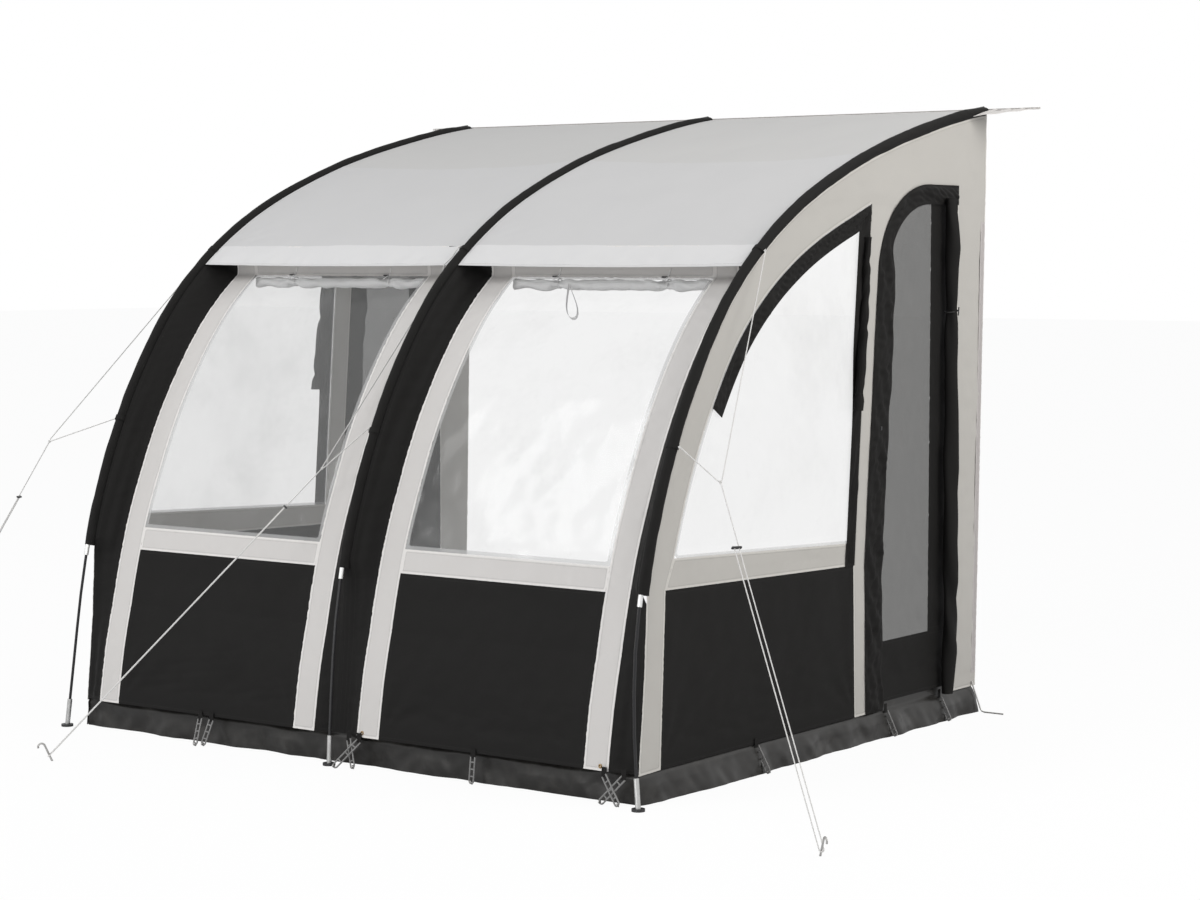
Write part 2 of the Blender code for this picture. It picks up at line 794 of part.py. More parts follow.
def make_curtain(name, ends):
    """The curtain rolled up under the window's head and pinched by two ties."""
    depth = front_set(CURTAIN_AT) + CLOTH + GAP + CURTAIN_RADIUS
    count = 14
    shares = sorted({*np.linspace(0, 1, count), *CURTAIN_TIE_SHARES})
    points, sizes = [], []
    for share in shares:
        x = ends[0] + share * (ends[1] - ends[0])
        points.append(front_point(x, CURTAIN_AT, depth))
        near = min(abs(share - tie) for tie in CURTAIN_TIE_SHARES) * count
        sizes.append(CURTAIN_PINCH_SHARE + (1 - CURTAIN_PINCH_SHARE) * min(1.0, near))
    tube("curtain_roll_" + name, points, CURTAIN_RADIUS, "pale cloth", CURTAIN_SIDES, swell_shares=sizes)


def gusset_depth(share, along, sleeve_side):
    """Depth of a gusset between its sleeve edge and the panel's strip."""
    panel = closing_set(along, front_set(along))
    return sleeve_side + (panel - sleeve_side) * share


def edge_depth(along):
    """Depth of a gusset at its arch, beside the sleeve and below it."""
    start = SLEEVE_START - SLEEVE_TUCK
    run = min(1.0, max(0.0, (start - along) / TUCK_RUN))
    return WING_SET + (corner_set(along) - WING_SET) * run


def edge_offset(along, closed):
    """Distance of a gusset's edge from the arch's plane; closed is that below the sleeve."""
    start = SLEEVE_START - SLEEVE_TUCK
    run = min(1.0, max(0.0, (start - along) / TUCK_RUN))
    return SEAM_OFFSET + (closed - SEAM_OFFSET) * run


def gusset_rows():
    """The rows of a gusset, with those where it closes below the sleeve."""
    start = SLEEVE_START - SLEEVE_TUCK
    return front_rows(start, start - TUCK_RUN)


def make_outer_gusset(name, side):
    """The black gusset between an outer arch and the panel beside it."""
    rows = gusset_rows()
    grids = []
    for extra in (0.0, CLOTH):
        grid = []
        for s in rows:
            near = HALF_WIDTH - edge_offset(s, CLOTH / 2 + GAP)
            far = HALF_WIDTH - GUSSET_WIDTH + GAP
            line = []
            for share in (0.0, 0.5, 1.0):
                x = side * (near + share * (far - near))
                line.append(front_point(x, s, gusset_depth(share, s, edge_depth(s)) + extra))
            grid.append(line)
        grids.append(grid)
    shell("gusset_" + name, *grids, "black cloth")


def make_center_gusset():
    """The two wings beside the center sleeve, one piece of cloth below it."""
    rows = gusset_rows()
    start = SLEEVE_START - SLEEVE_TUCK
    far = GUSSET_WIDTH - GAP
    grids = []
    for extra in (0.0, CLOTH):
        grid = []
        for s in rows:
            near = edge_offset(s, SEAM_OFFSET)
            line = []
            for x, share in ((-far, 1.0), (-(near + far) / 2, 0.5), (-near, 0.0), (0.0, 0.0)):
                line.append(front_point(x, s, gusset_depth(share, s, edge_depth(s)) + extra))
            for x, share in ((near, 0.0), ((near + far) / 2, 0.5), (far, 1.0)):
                line.append(front_point(x, s, gusset_depth(share, s, edge_depth(s)) + extra))
            grid.append(line)
        grids.append(grid)
    cells = []
    for s in rows[:-1]:
        joined = s < start
        cells.append([True, True, joined, joined, True, True])
    shell("gusset_center", *grids, "black cloth", cells)


# Side walls


def post_line(z):
    """The y of the front edge of the post strip at a height."""
    return POST_AT + table_at(POST_LEAN_SHARES, z / DOOR_TOP, POST_LEAN)


def side_band(along):
    """How far the side window's arc lies behind the pole's axis."""
    return SIDE_BAND + table_at(SIDE_BAND_GROWTH_SHARES, along / ARCH_LENGTH, SIDE_BAND_GROWTH)


def band_line(front, rear, y):
    """The height of a slanting edge of the side band at y."""
    share = (y - arch_at(SLEEVE_START)[0]) / (POST_AT - arch_at(SLEEVE_START)[0])
    return front + (rear - front) * share


def strip_line(z):
    """The y of the rear edge of the front strip at a height below the band."""
    low = arch_at(WALL_BOTTOM, corner_set(WALL_BOTTOM))[0] + SIDE_STRIP + SIDE_STRIP_FLARE
    high = arch_at(BAND_BOTTOM_FRONT, corner_set(BAND_BOTTOM_FRONT))[0] + SIDE_STRIP
    share = (z - WALL_BOTTOM) / (BAND_BOTTOM_FRONT - WALL_BOTTOM)
    return low + (high - low) * share


def window_span(depth, lift, inset):
    """Where the window's arc starts at the band and ends at the post."""
    fine = np.linspace(SLEEVE_START, ROOF_END, SPAN_SAMPLES * 8)
    points = np.array([arch_at(s, side_band(s) + depth) for s in fine])
    above = points[:, 1] - np.array([band_line(BAND_TOP_FRONT, BAND_TOP_REAR, y) + lift for y in points[:, 0]])
    behind = points[:, 0] - np.array([post_line(z) - inset for z in points[:, 1]])
    crossing = int(np.argmax(above > 0))
    low = np.interp(0.0, above[crossing - 1 : crossing + 1], fine[crossing - 1 : crossing + 1])
    return float(low), float(np.interp(0.0, behind, fine))


def window_outline(clearance):
    """The side window's outline, with a clearance to the wall's hole."""
    low, high = window_span(0.0, 0.0, 0.0)
    rows = [s for s in SLEEVE_ROWS if low + OVERRUN < s < high - OVERRUN]
    start, end = window_span(clearance, clearance, clearance)
    arc = [arch_at(s, side_band(s) + clearance) for s in (start, *rows, end)]
    foot_z = band_line(BAND_TOP_FRONT, BAND_TOP_REAR, POST_AT) + clearance
    heights = np.linspace(arc[-1][1], foot_z, 4)[1:]
    return arc + [(post_line(z) - clearance, float(z)) for z in heights]


def door_outline(outward, rear, bottom):
    """The doorway's outline, moved outward, from its rear foot over to its front foot."""
    centre_z = DOOR_TOP - DOOR_RADIUS
    front = post_line(centre_z) + POST_WIDTH
    points = [(rear, bottom), (rear, DOOR_TOP + outward)]
    for angle in np.linspace(math.pi / 2, math.pi, CORNER_ROWS):
        y = front + DOOR_RADIUS_ACROSS + (DOOR_RADIUS_ACROSS + outward) * math.cos(angle)
        points.append((y, centre_z + (DOOR_RADIUS + outward) * math.sin(angle)))
    for z in np.linspace(centre_z, bottom, DOOR_ROWS)[1:]:
        points.append((post_line(z) + POST_WIDTH - outward, float(z)))
    return points


def lower_outline(clearance):
    """The notch for the black lower panel, from its rear foot over to its front foot."""
    top_rear = BAND_BOTTOM_REAR - clearance
    top_front = BAND_BOTTOM_FRONT - clearance
    rear = [(post_line(z) - clearance, z) for z in (WALL_BOTTOM, top_rear)]
    front = [(strip_line(z) + clearance, z) for z in (top_front, WALL_BOTTOM)]
    return rear + front


def make_side(name, side):
    """The wall of one side with its window, lower panel, blind, door and zip pull."""
    top = [arch_at(s, WALL_SET) for s in SLEEVE_ROWS]
    rear_y = RAIL_FACE_Y - REAR_TOP_MARGIN
    rise = (top[-1][1] - top[-2][1]) / (top[-1][0] - top[-2][0])
    rear = [
        (rear_y, top[-1][1] + rise * (rear_y - top[-1][0])),
        (rear_y - REAR_LEAN, WALL_BOTTOM),
    ]
    door = door_outline(0.0, DOOR_REAR, WALL_BOTTOM)
    corner_rows = steps_between(WALL_BOTTOM, SLEEVE_START, SLEEVE_STEP)[:-1]
    corner = [arch_at(s, corner_set(s)) for s in corner_rows]
    foot = (arch_at(WALL_BOTTOM, corner_set(WALL_BOTTOM))[0], WALL_BOTTOM)
    outline = [*top, *rear, *door, *lower_outline(0.0), foot, *corner[1:]]
    inner = WALL_INNER
    flat_piece("wall_" + name, [outline, window_outline(0.0)], side, inner, CLOTH, "wall cloth")
    flat_piece("side_window_" + name, [window_outline(GAP)], side, inner, CLOTH, "clear film")
    flat_piece("side_lower_" + name, [lower_outline(GAP)], side, inner, CLOTH, "black cloth")
    leaf = door_outline(-LEAF_CLEARANCE, DOOR_REAR - LEAF_HINGE_CLEARANCE, DOOR_SILL)
    flat_piece("door_leaf_" + name, [leaf], side, inner, CLOTH, "mesh screen")
    make_blind(name, side)
    make_door_flap(name, side)
    make_zip_pull(name, side)


def make_blind(name, side):
    """The black blind: its band along the window's arc and post, and its rolled part."""
    high = window_span(0.0, 0.0, 0.0)[1]
    rows = [s for s in SLEEVE_ROWS if BLIND_FOOT_AT + OVERRUN < s < high - OVERRUN]
    arc = [arch_at(s, side_band(s)) for s in (BLIND_FOOT_AT, *rows, high)]
    back_end = window_span(BLIND_WIDTH, 0.0, BLIND_POST_WIDTH)[1]
    back_rows = [s for s in rows if s < back_end - OVERRUN]
    back = [arch_at(s, side_band(s) + BLIND_WIDTH) for s in (BLIND_FOOT_AT, *back_rows, back_end)]
    heights = np.linspace(arc[-1][1], BAND_BOTTOM_REAR, 5)[1:]
    post = [(post_line(z), float(z)) for z in heights]
    inner_heights = np.linspace(BAND_BOTTOM_REAR, back[-1][1], 5)[:-1]
    inner_post = [(post_line(z) - BLIND_POST_WIDTH, float(z)) for z in inner_heights]
    outline = [*arc, *post, *inner_post, *reversed(back)]
    blind = flat_piece("side_blind_" + name, [outline], side, OVERLAY_INNER, CLOTH, "black cloth")
    points, sizes = [], []
    for share in np.linspace(0, 1, 6):
        size = 0.7 + 0.3 * share
        across = side * (OVERLAY_INNER + BLIND_ROLL_RADIUS * size)
        drop = BLIND_ROLL_TOP_SHARE - BLIND_ROLL_BOTTOM_SHARE
        z = DOOR_TOP * (BLIND_ROLL_TOP_SHARE - share * drop)
        points.append((across, post_line(z) - BLIND_POST_WIDTH / 2 - BLIND_ROLL_SET * share * share / 2, z))
        sizes.append(size)
    roll = tube("blind_roll_" + name, points, BLIND_ROLL_RADIUS, "black cloth", 12, swell_shares=sizes)
    combine(blind, roll, "UNION")


def make_door_flap(name, side):
    """The black flap round the doorway, joined at its top to the rolled door panel."""
    outer = door_outline(TRIM_OUT, DOOR_REAR, WALL_BOTTOM)
    inner = door_outline(-TRIM_IN, DOOR_REAR, WALL_BOTTOM)
    outline = outer[1:] + list(reversed(inner[1:]))
    flap = flat_piece("door_flap_" + name, [outline], side, OVERLAY_INNER, CLOTH, "black cloth")
    flat = FLAP_ROLL_FLAT_SHARE
    top = DOOR_TOP - TRIM_IN / 2
    points, sizes = [], []
    for share, size in FLAP_PINCH_SHARES:
        across = side * FLAP_ROLL_RADIUS * size
        points.append((across, 0.0, FLAP_ROLL_BOTTOM + share * (top - FLAP_ROLL_BOTTOM)))
        sizes.append(size)
    roll = tube("flap_roll_" + name, points, FLAP_ROLL_RADIUS, "black cloth", 12, swell_shares=sizes)
    roll.data.transform(Matrix.Diagonal((flat, 1.0, 1.0, 1.0)))
    roll.data.transform(Matrix.Translation((side * OVERLAY_INNER, FLAP_ROLL_AT, 0.0)))
    combine(flap, roll, "UNION")


def make_zip_pull(name, side):
    """The door zip's slider with its pull tab, on the flap's inner edge."""
    body = Vector(ZIP_BODY)
    tab = Vector(ZIP_TAB)
    y = post_line(ZIP_HEIGHT) + POST_WIDTH + TRIM_IN - body.y / 2
    outer = OVERLAY_INNER + CLOTH + GAP
    centre = Vector((side * (outer + body.x / 2), y, ZIP_HEIGHT))
    piece = add_part("zip_pull_" + name, box_mesh("zip", body, centre, body.x / 5), "black plastic")
    low = centre - Vector((0, 0, body.z / 2 + tab.z / 2 - body.x / 2))
    handle = add_part("zip_tab_" + name, box_mesh("tab", tab, low, tab.x / 5), "black plastic")
    combine(piece, handle, "UNION")


# Skirts


def skirt_grid(line, outward, extra):
    """A skirt's grid: a top line of x and y, flared towards the ground.

    outward is the unit vector away from the tent, and line gives each point's own flare.
    """
    grid = []
    for row, flare in zip(SKIRT_ROW_SHARES, SKIRT_FLARE_SHARES):
        z = SKIRT_TOP * (1 - row)
        grid.append(
            [
                (
                    x + outward[0] * (reach * flare - extra),
                    y + outward[1] * (reach * flare - extra),
                    z,
                )
                for x, y, reach in line
            ]
        )
    return grid


def make_front_skirt():
    """The mud skirt behind the front panels' feet, drawn back at the pole feet."""
    end = HALF_WIDTH - SKIRT_END_MARGIN
    panel_y = arch_at(SKIRT_TOP, front_set(SKIRT_TOP))[0]
    corner_y = arch_at(SKIRT_TOP, corner_set(SKIRT_TOP))[0]
    top_y = max(panel_y, corner_y) + 2 * CLOTH
    line = []
    for x in np.linspace(-end, end, SKIRT_COLUMNS + 1):
        near = min(abs(abs(x) - HALF_WIDTH), abs(x))
        draw = min(1.0, near / SKIRT_PITCH)
        wave = SKIRT_WAVE * math.sin(2 * math.pi * x / SKIRT_PITCH) * draw
        line.append((x, top_y, FRONT_SKIRT_FLARE * draw + wave))
    shell(
        "skirt_front",
        skirt_grid(line, (0, -1), 0.0),
        skirt_grid(line, (0, -1), CLOTH),
        "skirt film",
    )


def make_side_skirt(name, side):
    """The mud skirt inside a side wall's foot, spread out over the ground."""
    x = side * (WALL_INNER - GAP)
    front = arch_at(WALL_BOTTOM, corner_set(WALL_BOTTOM))[0] + SKIRT_END_MARGIN
    rear = RAIL_FACE_Y - REAR_TOP_MARGIN - REAR_LEAN - SKIRT_REAR_MARGIN
    line = []
    for share in np.linspace(0, 1, SKIRT_COLUMNS + 1):
        y = front + share * (rear - front)
        grow = min(1.0, (share * (rear - front)) / SKIRT_PITCH)
        wave = SKIRT_WAVE * math.sin(2 * math.pi * (y - front) / SKIRT_PITCH)
        line.append((x, y, SKIRT_FLARE * (0.5 + 0.5 * grow) + wave))
    shell(
        "skirt_" + name,
        skirt_grid(line, (side, 0), 0.0),
        skirt_grid(line, (side, 0), CLOTH),
        "skirt film",
    )


# Guy ropes, sliders and pegs


def loop_point(side, along, standoff=ROPE_STANDOFF):
    """Where a rope leaves its loop: beside an outer sleeve, and left of the center one's front."""
    turn = side * OUTER_LOOP_TURN if side else CENTER_LOOP_TURN
    reach = SLEEVE_RADIUS + standoff
    depth = SLEEVE_SET - reach * math.cos(turn)
    return Vector((side * HALF_WIDTH + reach * math.sin(turn), *arch_at(along, depth)))


def rest_on_gusset(point):
    """Keep a point of the center rope in front of the cloth beside the center sleeve."""
    near = int(np.argmin(np.linalg.norm(ARCH - np.array([point.y, point.z]), axis=1)))
    along = float(ARCH_S[near])
    y, z = ARCH[near]
    ty, tz = ARCH_TANGENT[near]
    depth = (point.y - y) * tz - (point.z - z) * ty
    share = (abs(point.x) - SEAM_OFFSET) / (GUSSET_WIDTH - SEAM_OFFSET)
    limit = gusset_depth(min(1.0, max(0.0, share)), along, WING_SET)
    if along > HEM_AT - ROPE_STANDOFF:
        limit = min(limit, ROOF_SET)
    reach = SLEEVE_RADIUS + ROPE_STANDOFF
    if abs(point.x) < reach:
        limit = min(limit, SLEEVE_SET - math.sqrt(reach**2 - point.x**2) + ROPE_STANDOFF)
    if depth <= limit - ROPE_STANDOFF:
        return point
    return Vector((point.x, *arch_at(along, limit - ROPE_STANDOFF)))


def even_points(start, end, count):
    """Evenly spread points from start to end, both included."""
    return [start.lerp(end, i / (count - 1)) for i in range(count)]


def arc_points(centre, from_vector, to_vector, count):
    """Points that swing from one radius vector to another of the same length."""
    turn = from_vector.rotation_difference(to_vector)
    points = []
    for i in range(count):
        part = Matrix.Identity(3).to_quaternion().slerp(turn, i / (count - 1))
        points.append(centre + part @ from_vector)
    return points


def bridle_route(side, ring):
    """From the upper loop, round the ring in one small bend, and back to the lower loop."""
    upper, lower = loop_point(side, UPPER_LOOP_AT), loop_point(side, LOWER_LOOP_AT)
    ring = Vector(ring)
    to_upper, to_lower = (upper - ring).normalized(), (lower - ring).normalized()
    half_angle = to_upper.angle(to_lower) / 2
    inward = (to_upper + to_lower).normalized()
    centre = ring + inward * RING_TURN_RADIUS
    reach = RING_TURN_RADIUS / math.tan(half_angle) if half_angle > 0 else 0.0
    corner = centre - inward * (RING_TURN_RADIUS / math.sin(half_angle))
    first = corner + to_upper * reach
    last = corner + to_lower * reach
    bend = arc_points(centre, first - centre, last - centre, BEND_POINTS)
    route = even_points(upper, bend[0], ROPE_POINTS)[:-1]
    if side == 0:
        route = [rest_on_gusset(point) for point in route]
    first, last = (loop_point(side, along, GAP) for along in (UPPER_LOOP_AT, LOWER_LOOP_AT))
    return [first, *route, *bend, *even_points(bend[-1], lower, BEND_POINTS)[1:], last]


def guy_frame(side, ring, peg):
    """The line's start below the ring, its direction, the strands' side step and the loop's place."""
    start = Vector(ring)
    foot = Vector(peg) + Vector((0, 0, LOOP_HEIGHT))
    direction = (foot - start).normalized()
    across = direction.cross(Vector((0, 0, 1))).normalized()
    return start + direction * LINE_START_GAP, direction, across, foot


def guy_route(side, ring, peg, along):
    """Down through the slider to the peg, round it, and back up to the slider."""
    start, direction, across, foot = guy_frame(side, ring, peg)
    centre = foot + across * (STRAND_SPACING / 2)
    turn = arc_points(centre, -across * (STRAND_SPACING / 2), direction * (STRAND_SPACING / 2), BEND_POINTS)
    turn += arc_points(centre, direction * (STRAND_SPACING / 2), across * (STRAND_SPACING / 2), BEND_POINTS)[1:]
    end = start + direction * along + across * STRAND_SPACING
    return even_points(start, turn[0], BEND_POINTS)[:-1] + turn + even_points(turn[-1], end, BEND_POINTS)[1:]


def make_guy(name, side, ring, peg, along):
    """The bridle, the line, its slider and its peg."""
    tube("guy_bridle_" + name, bridle_route(side, ring), ROPE_RADIUS, "rope")
    tube("guy_line_" + name, guy_route(side, ring, peg, along), ROPE_RADIUS, "rope")
    start, direction, across, foot = guy_frame(side, ring, peg)
    middle = start + direction * along + across * (STRAND_SPACING / 2)
    up = across.cross(direction).normalized()
    turn = Matrix((across, up, direction)).transposed().to_4x4()
    place = Matrix.Translation(middle) @ turn
    size = (SLIDER_LENGTH, SLIDER_WIDTH, SLIDER_THICKNESS)
    slider = add_part("guy_slider_" + name, box_mesh("slider", size, (0, 0, 0), SLIDER_ROUND), "black plastic")
    slider.matrix_world = place
    for step in (-1, 1):
        hole = add_part(
            "hole_{}_{}".format(name, step + 1),
            cylinder_mesh("hole", SLIDER_HOLE_RADIUS, SLIDER_THICKNESS + 2 * OVERRUN, 12),
            "black plastic",
        )
        shift = Matrix.Translation((step * STRAND_SPACING / 2, 0, -SLIDER_THICKNESS / 2 - OVERRUN))
        hole.matrix_world = place @ shift
        combine(slider, hole, "DIFFERENCE")
    make_peg(name, side, ring, peg)


def make_peg(name, side, ring, peg):
    """The hooked head of a ground peg, leaning away from the tent."""
    start, direction, across, foot = guy_frame(side, ring, peg)
    centre = foot + across * (STRAND_SPACING / 2)
    outward = Vector((direction.x, direction.y, 0)).normalized()
    lean = (Vector((0, 0, 1)) * math.cos(PEG_TILT) + outward * math.sin(PEG_TILT)).normalized()
    slant = abs(lean.dot(direction.cross(across)))
    slack = STRAND_SPACING / 2 - ROPE_RADIUS - PEG_RADIUS / slant - PEG_CLEARANCE
    passing = centre + direction * slack
    ground = passing - lean * (passing.z / lean.z)
    neck = ground + lean * PEG_HEIGHT
    side_way = outward.cross(lean).normalized()
    forward = side_way.cross(lean).normalized()
    if forward.dot(outward) < 0:
        forward = -forward
    hook_centre = neck + forward * PEG_HOOK_RADIUS
    hook = arc_points(hook_centre, -forward * PEG_HOOK_RADIUS, lean * PEG_HOOK_RADIUS, BEND_POINTS)
    hook += arc_points(hook_centre, lean * PEG_HOOK_RADIUS, forward * PEG_HOOK_RADIUS, BEND_POINTS)[1:]
    rod = tube("guy_peg_" + name, [ground - lean * OVERRUN, *hook], PEG_RADIUS, "steel")
    cut_below_ground(rod, ground)


def cut_below_ground(piece, near):
    """Trim what reaches under the ground plane."""
    size = (20 * OVERRUN, 20 * OVERRUN, 10 * OVERRUN)
    block = add_part(piece.name + "_ground", box_mesh("ground", size, (near.x, near.y, -5 * OVERRUN)), "steel")
    combine(piece, block, "DIFFERENCE")


def make_corner_peg(name, side):
    """The bent steel peg at a rear corner, one leg along the ground."""
    x = side * (HALF_WIDTH + CLOTH / 2 + GAP + CORNER_PEG_RADIUS)
    y = RAIL_FACE_Y - REAR_TOP_MARGIN - REAR_LEAN - CORNER_PEG_INSET
    top = Vector((x, y, CORNER_PEG_HEIGHT))
    bend = Vector((x + side * CORNER_PEG_LEAN, y, CORNER_PEG_RADIUS))
    end = bend + Vector((side * CORNER_PEG_FOOT, 0, 0))
    down = (bend - top).normalized()
    along = (end - bend).normalized()
    near, far = bend - down * CORNER_PEG_BEND, bend + along * CORNER_PEG_BEND
    middle = near.lerp(far, 0.5).lerp(bend, 0.5)
    tube("corner_peg_" + name, [top, near, middle, far, end], CORNER_PEG_RADIUS, "steel")


def build():
    """Make every piece of the awning."""
    clear_scene()
    for name, side in ARCHES.items():
        make_poles(name, side)
    make_roof("roof_left", -HALF_WIDTH + SEAM_OFFSET, -SEAM_OFFSET)
    make_roof("roof_right", SEAM_OFFSET, HALF_WIDTH - SEAM_OFFSET)
    make_rail_strip()
    make_front_bay("left", -HALF_WIDTH, 0.0)
    make_front_bay("right", 0.0, HALF_WIDTH)
    make_center_gusset()
    make_front_skirt()
    for name, side in SIDES.items():
        make_outer_gusset(name, side)
        make_side(name, side)
        make_side_skirt(name, side)
        make_corner_peg(name, side)
    make_guy("left", -1, LEFT_RING, LEFT_PEG, LEFT_SLIDER_ALONG)
    make_guy("center", 0, CENTER_RING, CENTER_PEG, CENTER_SLIDER_ALONG)
    make_guy("right", 1, RIGHT_RING, RIGHT_PEG, RIGHT_SLIDER_ALONG)


build()
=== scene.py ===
"""The looks of a porch awning: three sprung arches, the cloth tent on them, ropes and pegs.

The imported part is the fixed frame. Cloth, film and rope pieces made here stand for its plain
solids, and poles, feet, pegs and sliders keep their solids with better finishes.
Metres, Z up; the front looks towards -Y and the rail edge is at +Y.
"""

import math

import bpy
import numpy as np
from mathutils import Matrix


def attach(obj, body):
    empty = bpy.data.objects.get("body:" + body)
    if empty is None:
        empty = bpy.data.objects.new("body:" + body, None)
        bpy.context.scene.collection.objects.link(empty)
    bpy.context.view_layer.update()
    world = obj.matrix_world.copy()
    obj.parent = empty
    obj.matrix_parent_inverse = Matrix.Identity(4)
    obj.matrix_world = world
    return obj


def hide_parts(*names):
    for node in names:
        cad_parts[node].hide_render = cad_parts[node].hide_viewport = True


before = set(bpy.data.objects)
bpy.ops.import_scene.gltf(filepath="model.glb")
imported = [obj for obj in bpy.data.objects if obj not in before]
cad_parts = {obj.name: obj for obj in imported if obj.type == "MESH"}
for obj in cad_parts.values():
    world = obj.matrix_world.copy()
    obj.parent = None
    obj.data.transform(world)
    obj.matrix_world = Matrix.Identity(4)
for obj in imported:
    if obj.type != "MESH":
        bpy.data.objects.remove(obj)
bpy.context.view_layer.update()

# Studio: a white ground and backdrop, soft light from the front left and above,
# and the camera at the right front corner, level with the hem of the roof.

studio = bpy.context.scene
studio.view_settings.view_transform = "Standard"

camera = bpy.data.objects.new("camera", bpy.data.cameras.new("camera"))
camera.data.sensor_width, camera.data.lens, camera.data.clip_end = 36.0, 80.4, 200.0
camera.location = (6.248, -8.148, 1.785)
camera.rotation_euler = (math.radians(90 - 4.16), 0.0, math.radians(36.11))
studio.collection.objects.link(camera)
studio.camera = camera


def hang_lamp(name, place, aim, size, power, colour=(1.0, 1.0, 1.0)):
    """A square soft lamp at a place, turned to aim."""
    lamp = bpy.data.objects.new(name, bpy.data.lights.new(name, "AREA"))
    lamp.data.size, lamp.data.energy, lamp.data.color = size, power, colour
    lamp.location = place
    away = np.array(place, float) - np.array(aim, float)
    flat = math.hypot(away[0], away[1])
    lamp.rotation_euler = (math.atan2(flat, away[2]), 0.0, math.atan2(away[0], -away[1]))
    studio.collection.objects.link(lamp)


hang_lamp("key_lamp", (-3.5, -8.0, 7.5), (0.0, 0.0, 1.0), 5.0, 520.0)
hang_lamp("side_lamp", (5.2, 0.6, 4.2), (1.0, 0.0, 1.5), 3.0, 165.0, (1.0, 0.98, 0.95))
hang_lamp("fill_lamp", (0.5, -9.0, 1.2), (0.0, 0.0, 1.5), 3.0, 100.0)
hang_lamp("top_lamp", (0.0, 0.5, 8.0), (0.0, 0.0, 1.0), 5.0, 60.0)


class Wire:
    """A shader socket; arithmetic on it adds Math nodes, so masks read as expressions."""

    def __init__(self, finish, socket):
        self.finish, self.socket = finish, socket

    def math(self, operation, *others):
        """One step of arithmetic on this wire and others."""
        return self.finish.node("ShaderNodeMath", {"operation": operation}, dict(enumerate([self, *others])))

    def __add__(self, other):
        return self.math("ADD", other)

    def __sub__(self, other):
        return self.math("SUBTRACT", other)

    def __rsub__(self, other):
        return self.finish.node("ShaderNodeMath", {"operation": "SUBTRACT"}, {0: other, 1: self})

    def __mul__(self, other):
        return self.math("MULTIPLY", other)

    def __truediv__(self, other):
        return self.math("DIVIDE", other)

    def __gt__(self, other):
        return self.math("GREATER_THAN", other)

    def __lt__(self, other):
        return self.math("LESS_THAN", other)

    __radd__, __rmul__ = __add__, __mul__


class Finish:
    """One finish: a Principled material with the slot of its pieces, and the nodes that vary
    it over a surface."""

    def __init__(self, name, colour, roughness, slot=None, **fixed):
        self.slot = slot
        self.material = bpy.data.materials.new(name)
        self.material.use_nodes = True
        self.tree = self.material.node_tree
        self.surface = self.tree.nodes["Principled BSDF"]
        self.surface.inputs["Base Color"].default_value = (*colour, 1.0)
        self.surface.inputs["Roughness"].default_value = roughness
        for socket, value in fixed.items():
            self.surface.inputs[socket.replace("_", " ")].default_value = value

    def node(self, kind, settings, inputs, out=0):
        """Any node: its settings first, then the values or links of its sockets."""
        made = self.tree.nodes.new(kind)
        for key, value in settings.items():
            setattr(made, key, value)
        for key, value in inputs.items():
            if isinstance(value, Wire):
                self.tree.links.new(value.socket, made.inputs[key])
            else:
                made.inputs[key].default_value = value
        return Wire(self, made.outputs[out])

    def feed(self, socket, wire):
        """Let a wire set one socket of the surface."""
        self.tree.links.new(wire.socket, self.surface.inputs[socket])

    def spot(self):
        """Object coordinates."""
        return self.node("ShaderNodeTexCoord", {}, {}, "Object")

    def stretched(self, scale):
        """Object coordinates, scaled by a number for each axis."""
        return self.node("ShaderNodeMapping", {}, {"Vector": self.spot(), "Scale": scale})

    def cloth_map(self):
        """The piece's own cloth coordinates in metres."""
        return self.node("ShaderNodeUVMap", {"uv_map": "cloth"}, {})

    def part(self, vector, axis):
        """One number of a vector, by its axis."""
        return self.node("ShaderNodeSeparateXYZ", {}, {"Vector": vector}, axis)

    def to_edge(self):
        """The distance to the nearest sewn edge, as kept with the mesh."""
        return self.node("ShaderNodeAttribute", {"attribute_name": "edge"}, {}, "Fac")

    def noise(self, where, scale, detail=2.0, rough=0.5):
        """Soft noise: detail adds finer layers, each rough times as strong as the last."""
        inputs = {"Vector": where, "Scale": scale, "Detail": detail, "Roughness": rough}
        return self.node("ShaderNodeTexNoise", {"noise_dimensions": "3D"}, inputs)

    def ramp(self, wire, low, high):
        """Zero below low, one above high, smooth between."""
        settings = {"interpolation_type": "SMOOTHSTEP"}
        return self.node("ShaderNodeMapRange", settings, {0: wire, 1: low, 2: high, 3: 0.0, 4: 1.0})

    def tint(self, mask, first, second):
        """A colour from first to second by mask."""
        return self.node("ShaderNodeMix", {"data_type": "RGBA"}, {0: mask, 6: first, 7: second}, 2)

    def relief(self, height, distance, strength=1.0):
        """A Bump node on the surface's normal; height is in shares of distance."""
        inputs = {"Height": height, "Distance": distance, "Strength": strength}
        self.feed("Normal", self.node("ShaderNodeBump", {}, inputs))


world = bpy.data.worlds.new("studio_world")
world.use_nodes = True
studio.world = world
sky = world.node_tree
seen = sky.nodes.new("ShaderNodeLightPath")
any_ray = sky.nodes.new("ShaderNodeMath")
any_ray.operation = "MAXIMUM"
sky.links.new(seen.outputs["Is Camera Ray"], any_ray.inputs[0])
sky.links.new(seen.outputs["Is Transmission Ray"], any_ray.inputs[1])
or_gloss = sky.nodes.new("ShaderNodeMath")
or_gloss.operation = "MAXIMUM"
sky.links.new(any_ray.outputs[0], or_gloss.inputs[0])
sky.links.new(seen.outputs["Is Glossy Ray"], or_gloss.inputs[1])
plain_light = sky.nodes["Background"]
plain_light.inputs["Color"].default_value = (0.93, 0.95, 1.0, 1.0)
plain_light.inputs["Strength"].default_value = 0.43
white_back = sky.nodes.new("ShaderNodeBackground")
white_back.inputs["Color"].default_value = (1.0, 1.0, 1.0, 1.0)
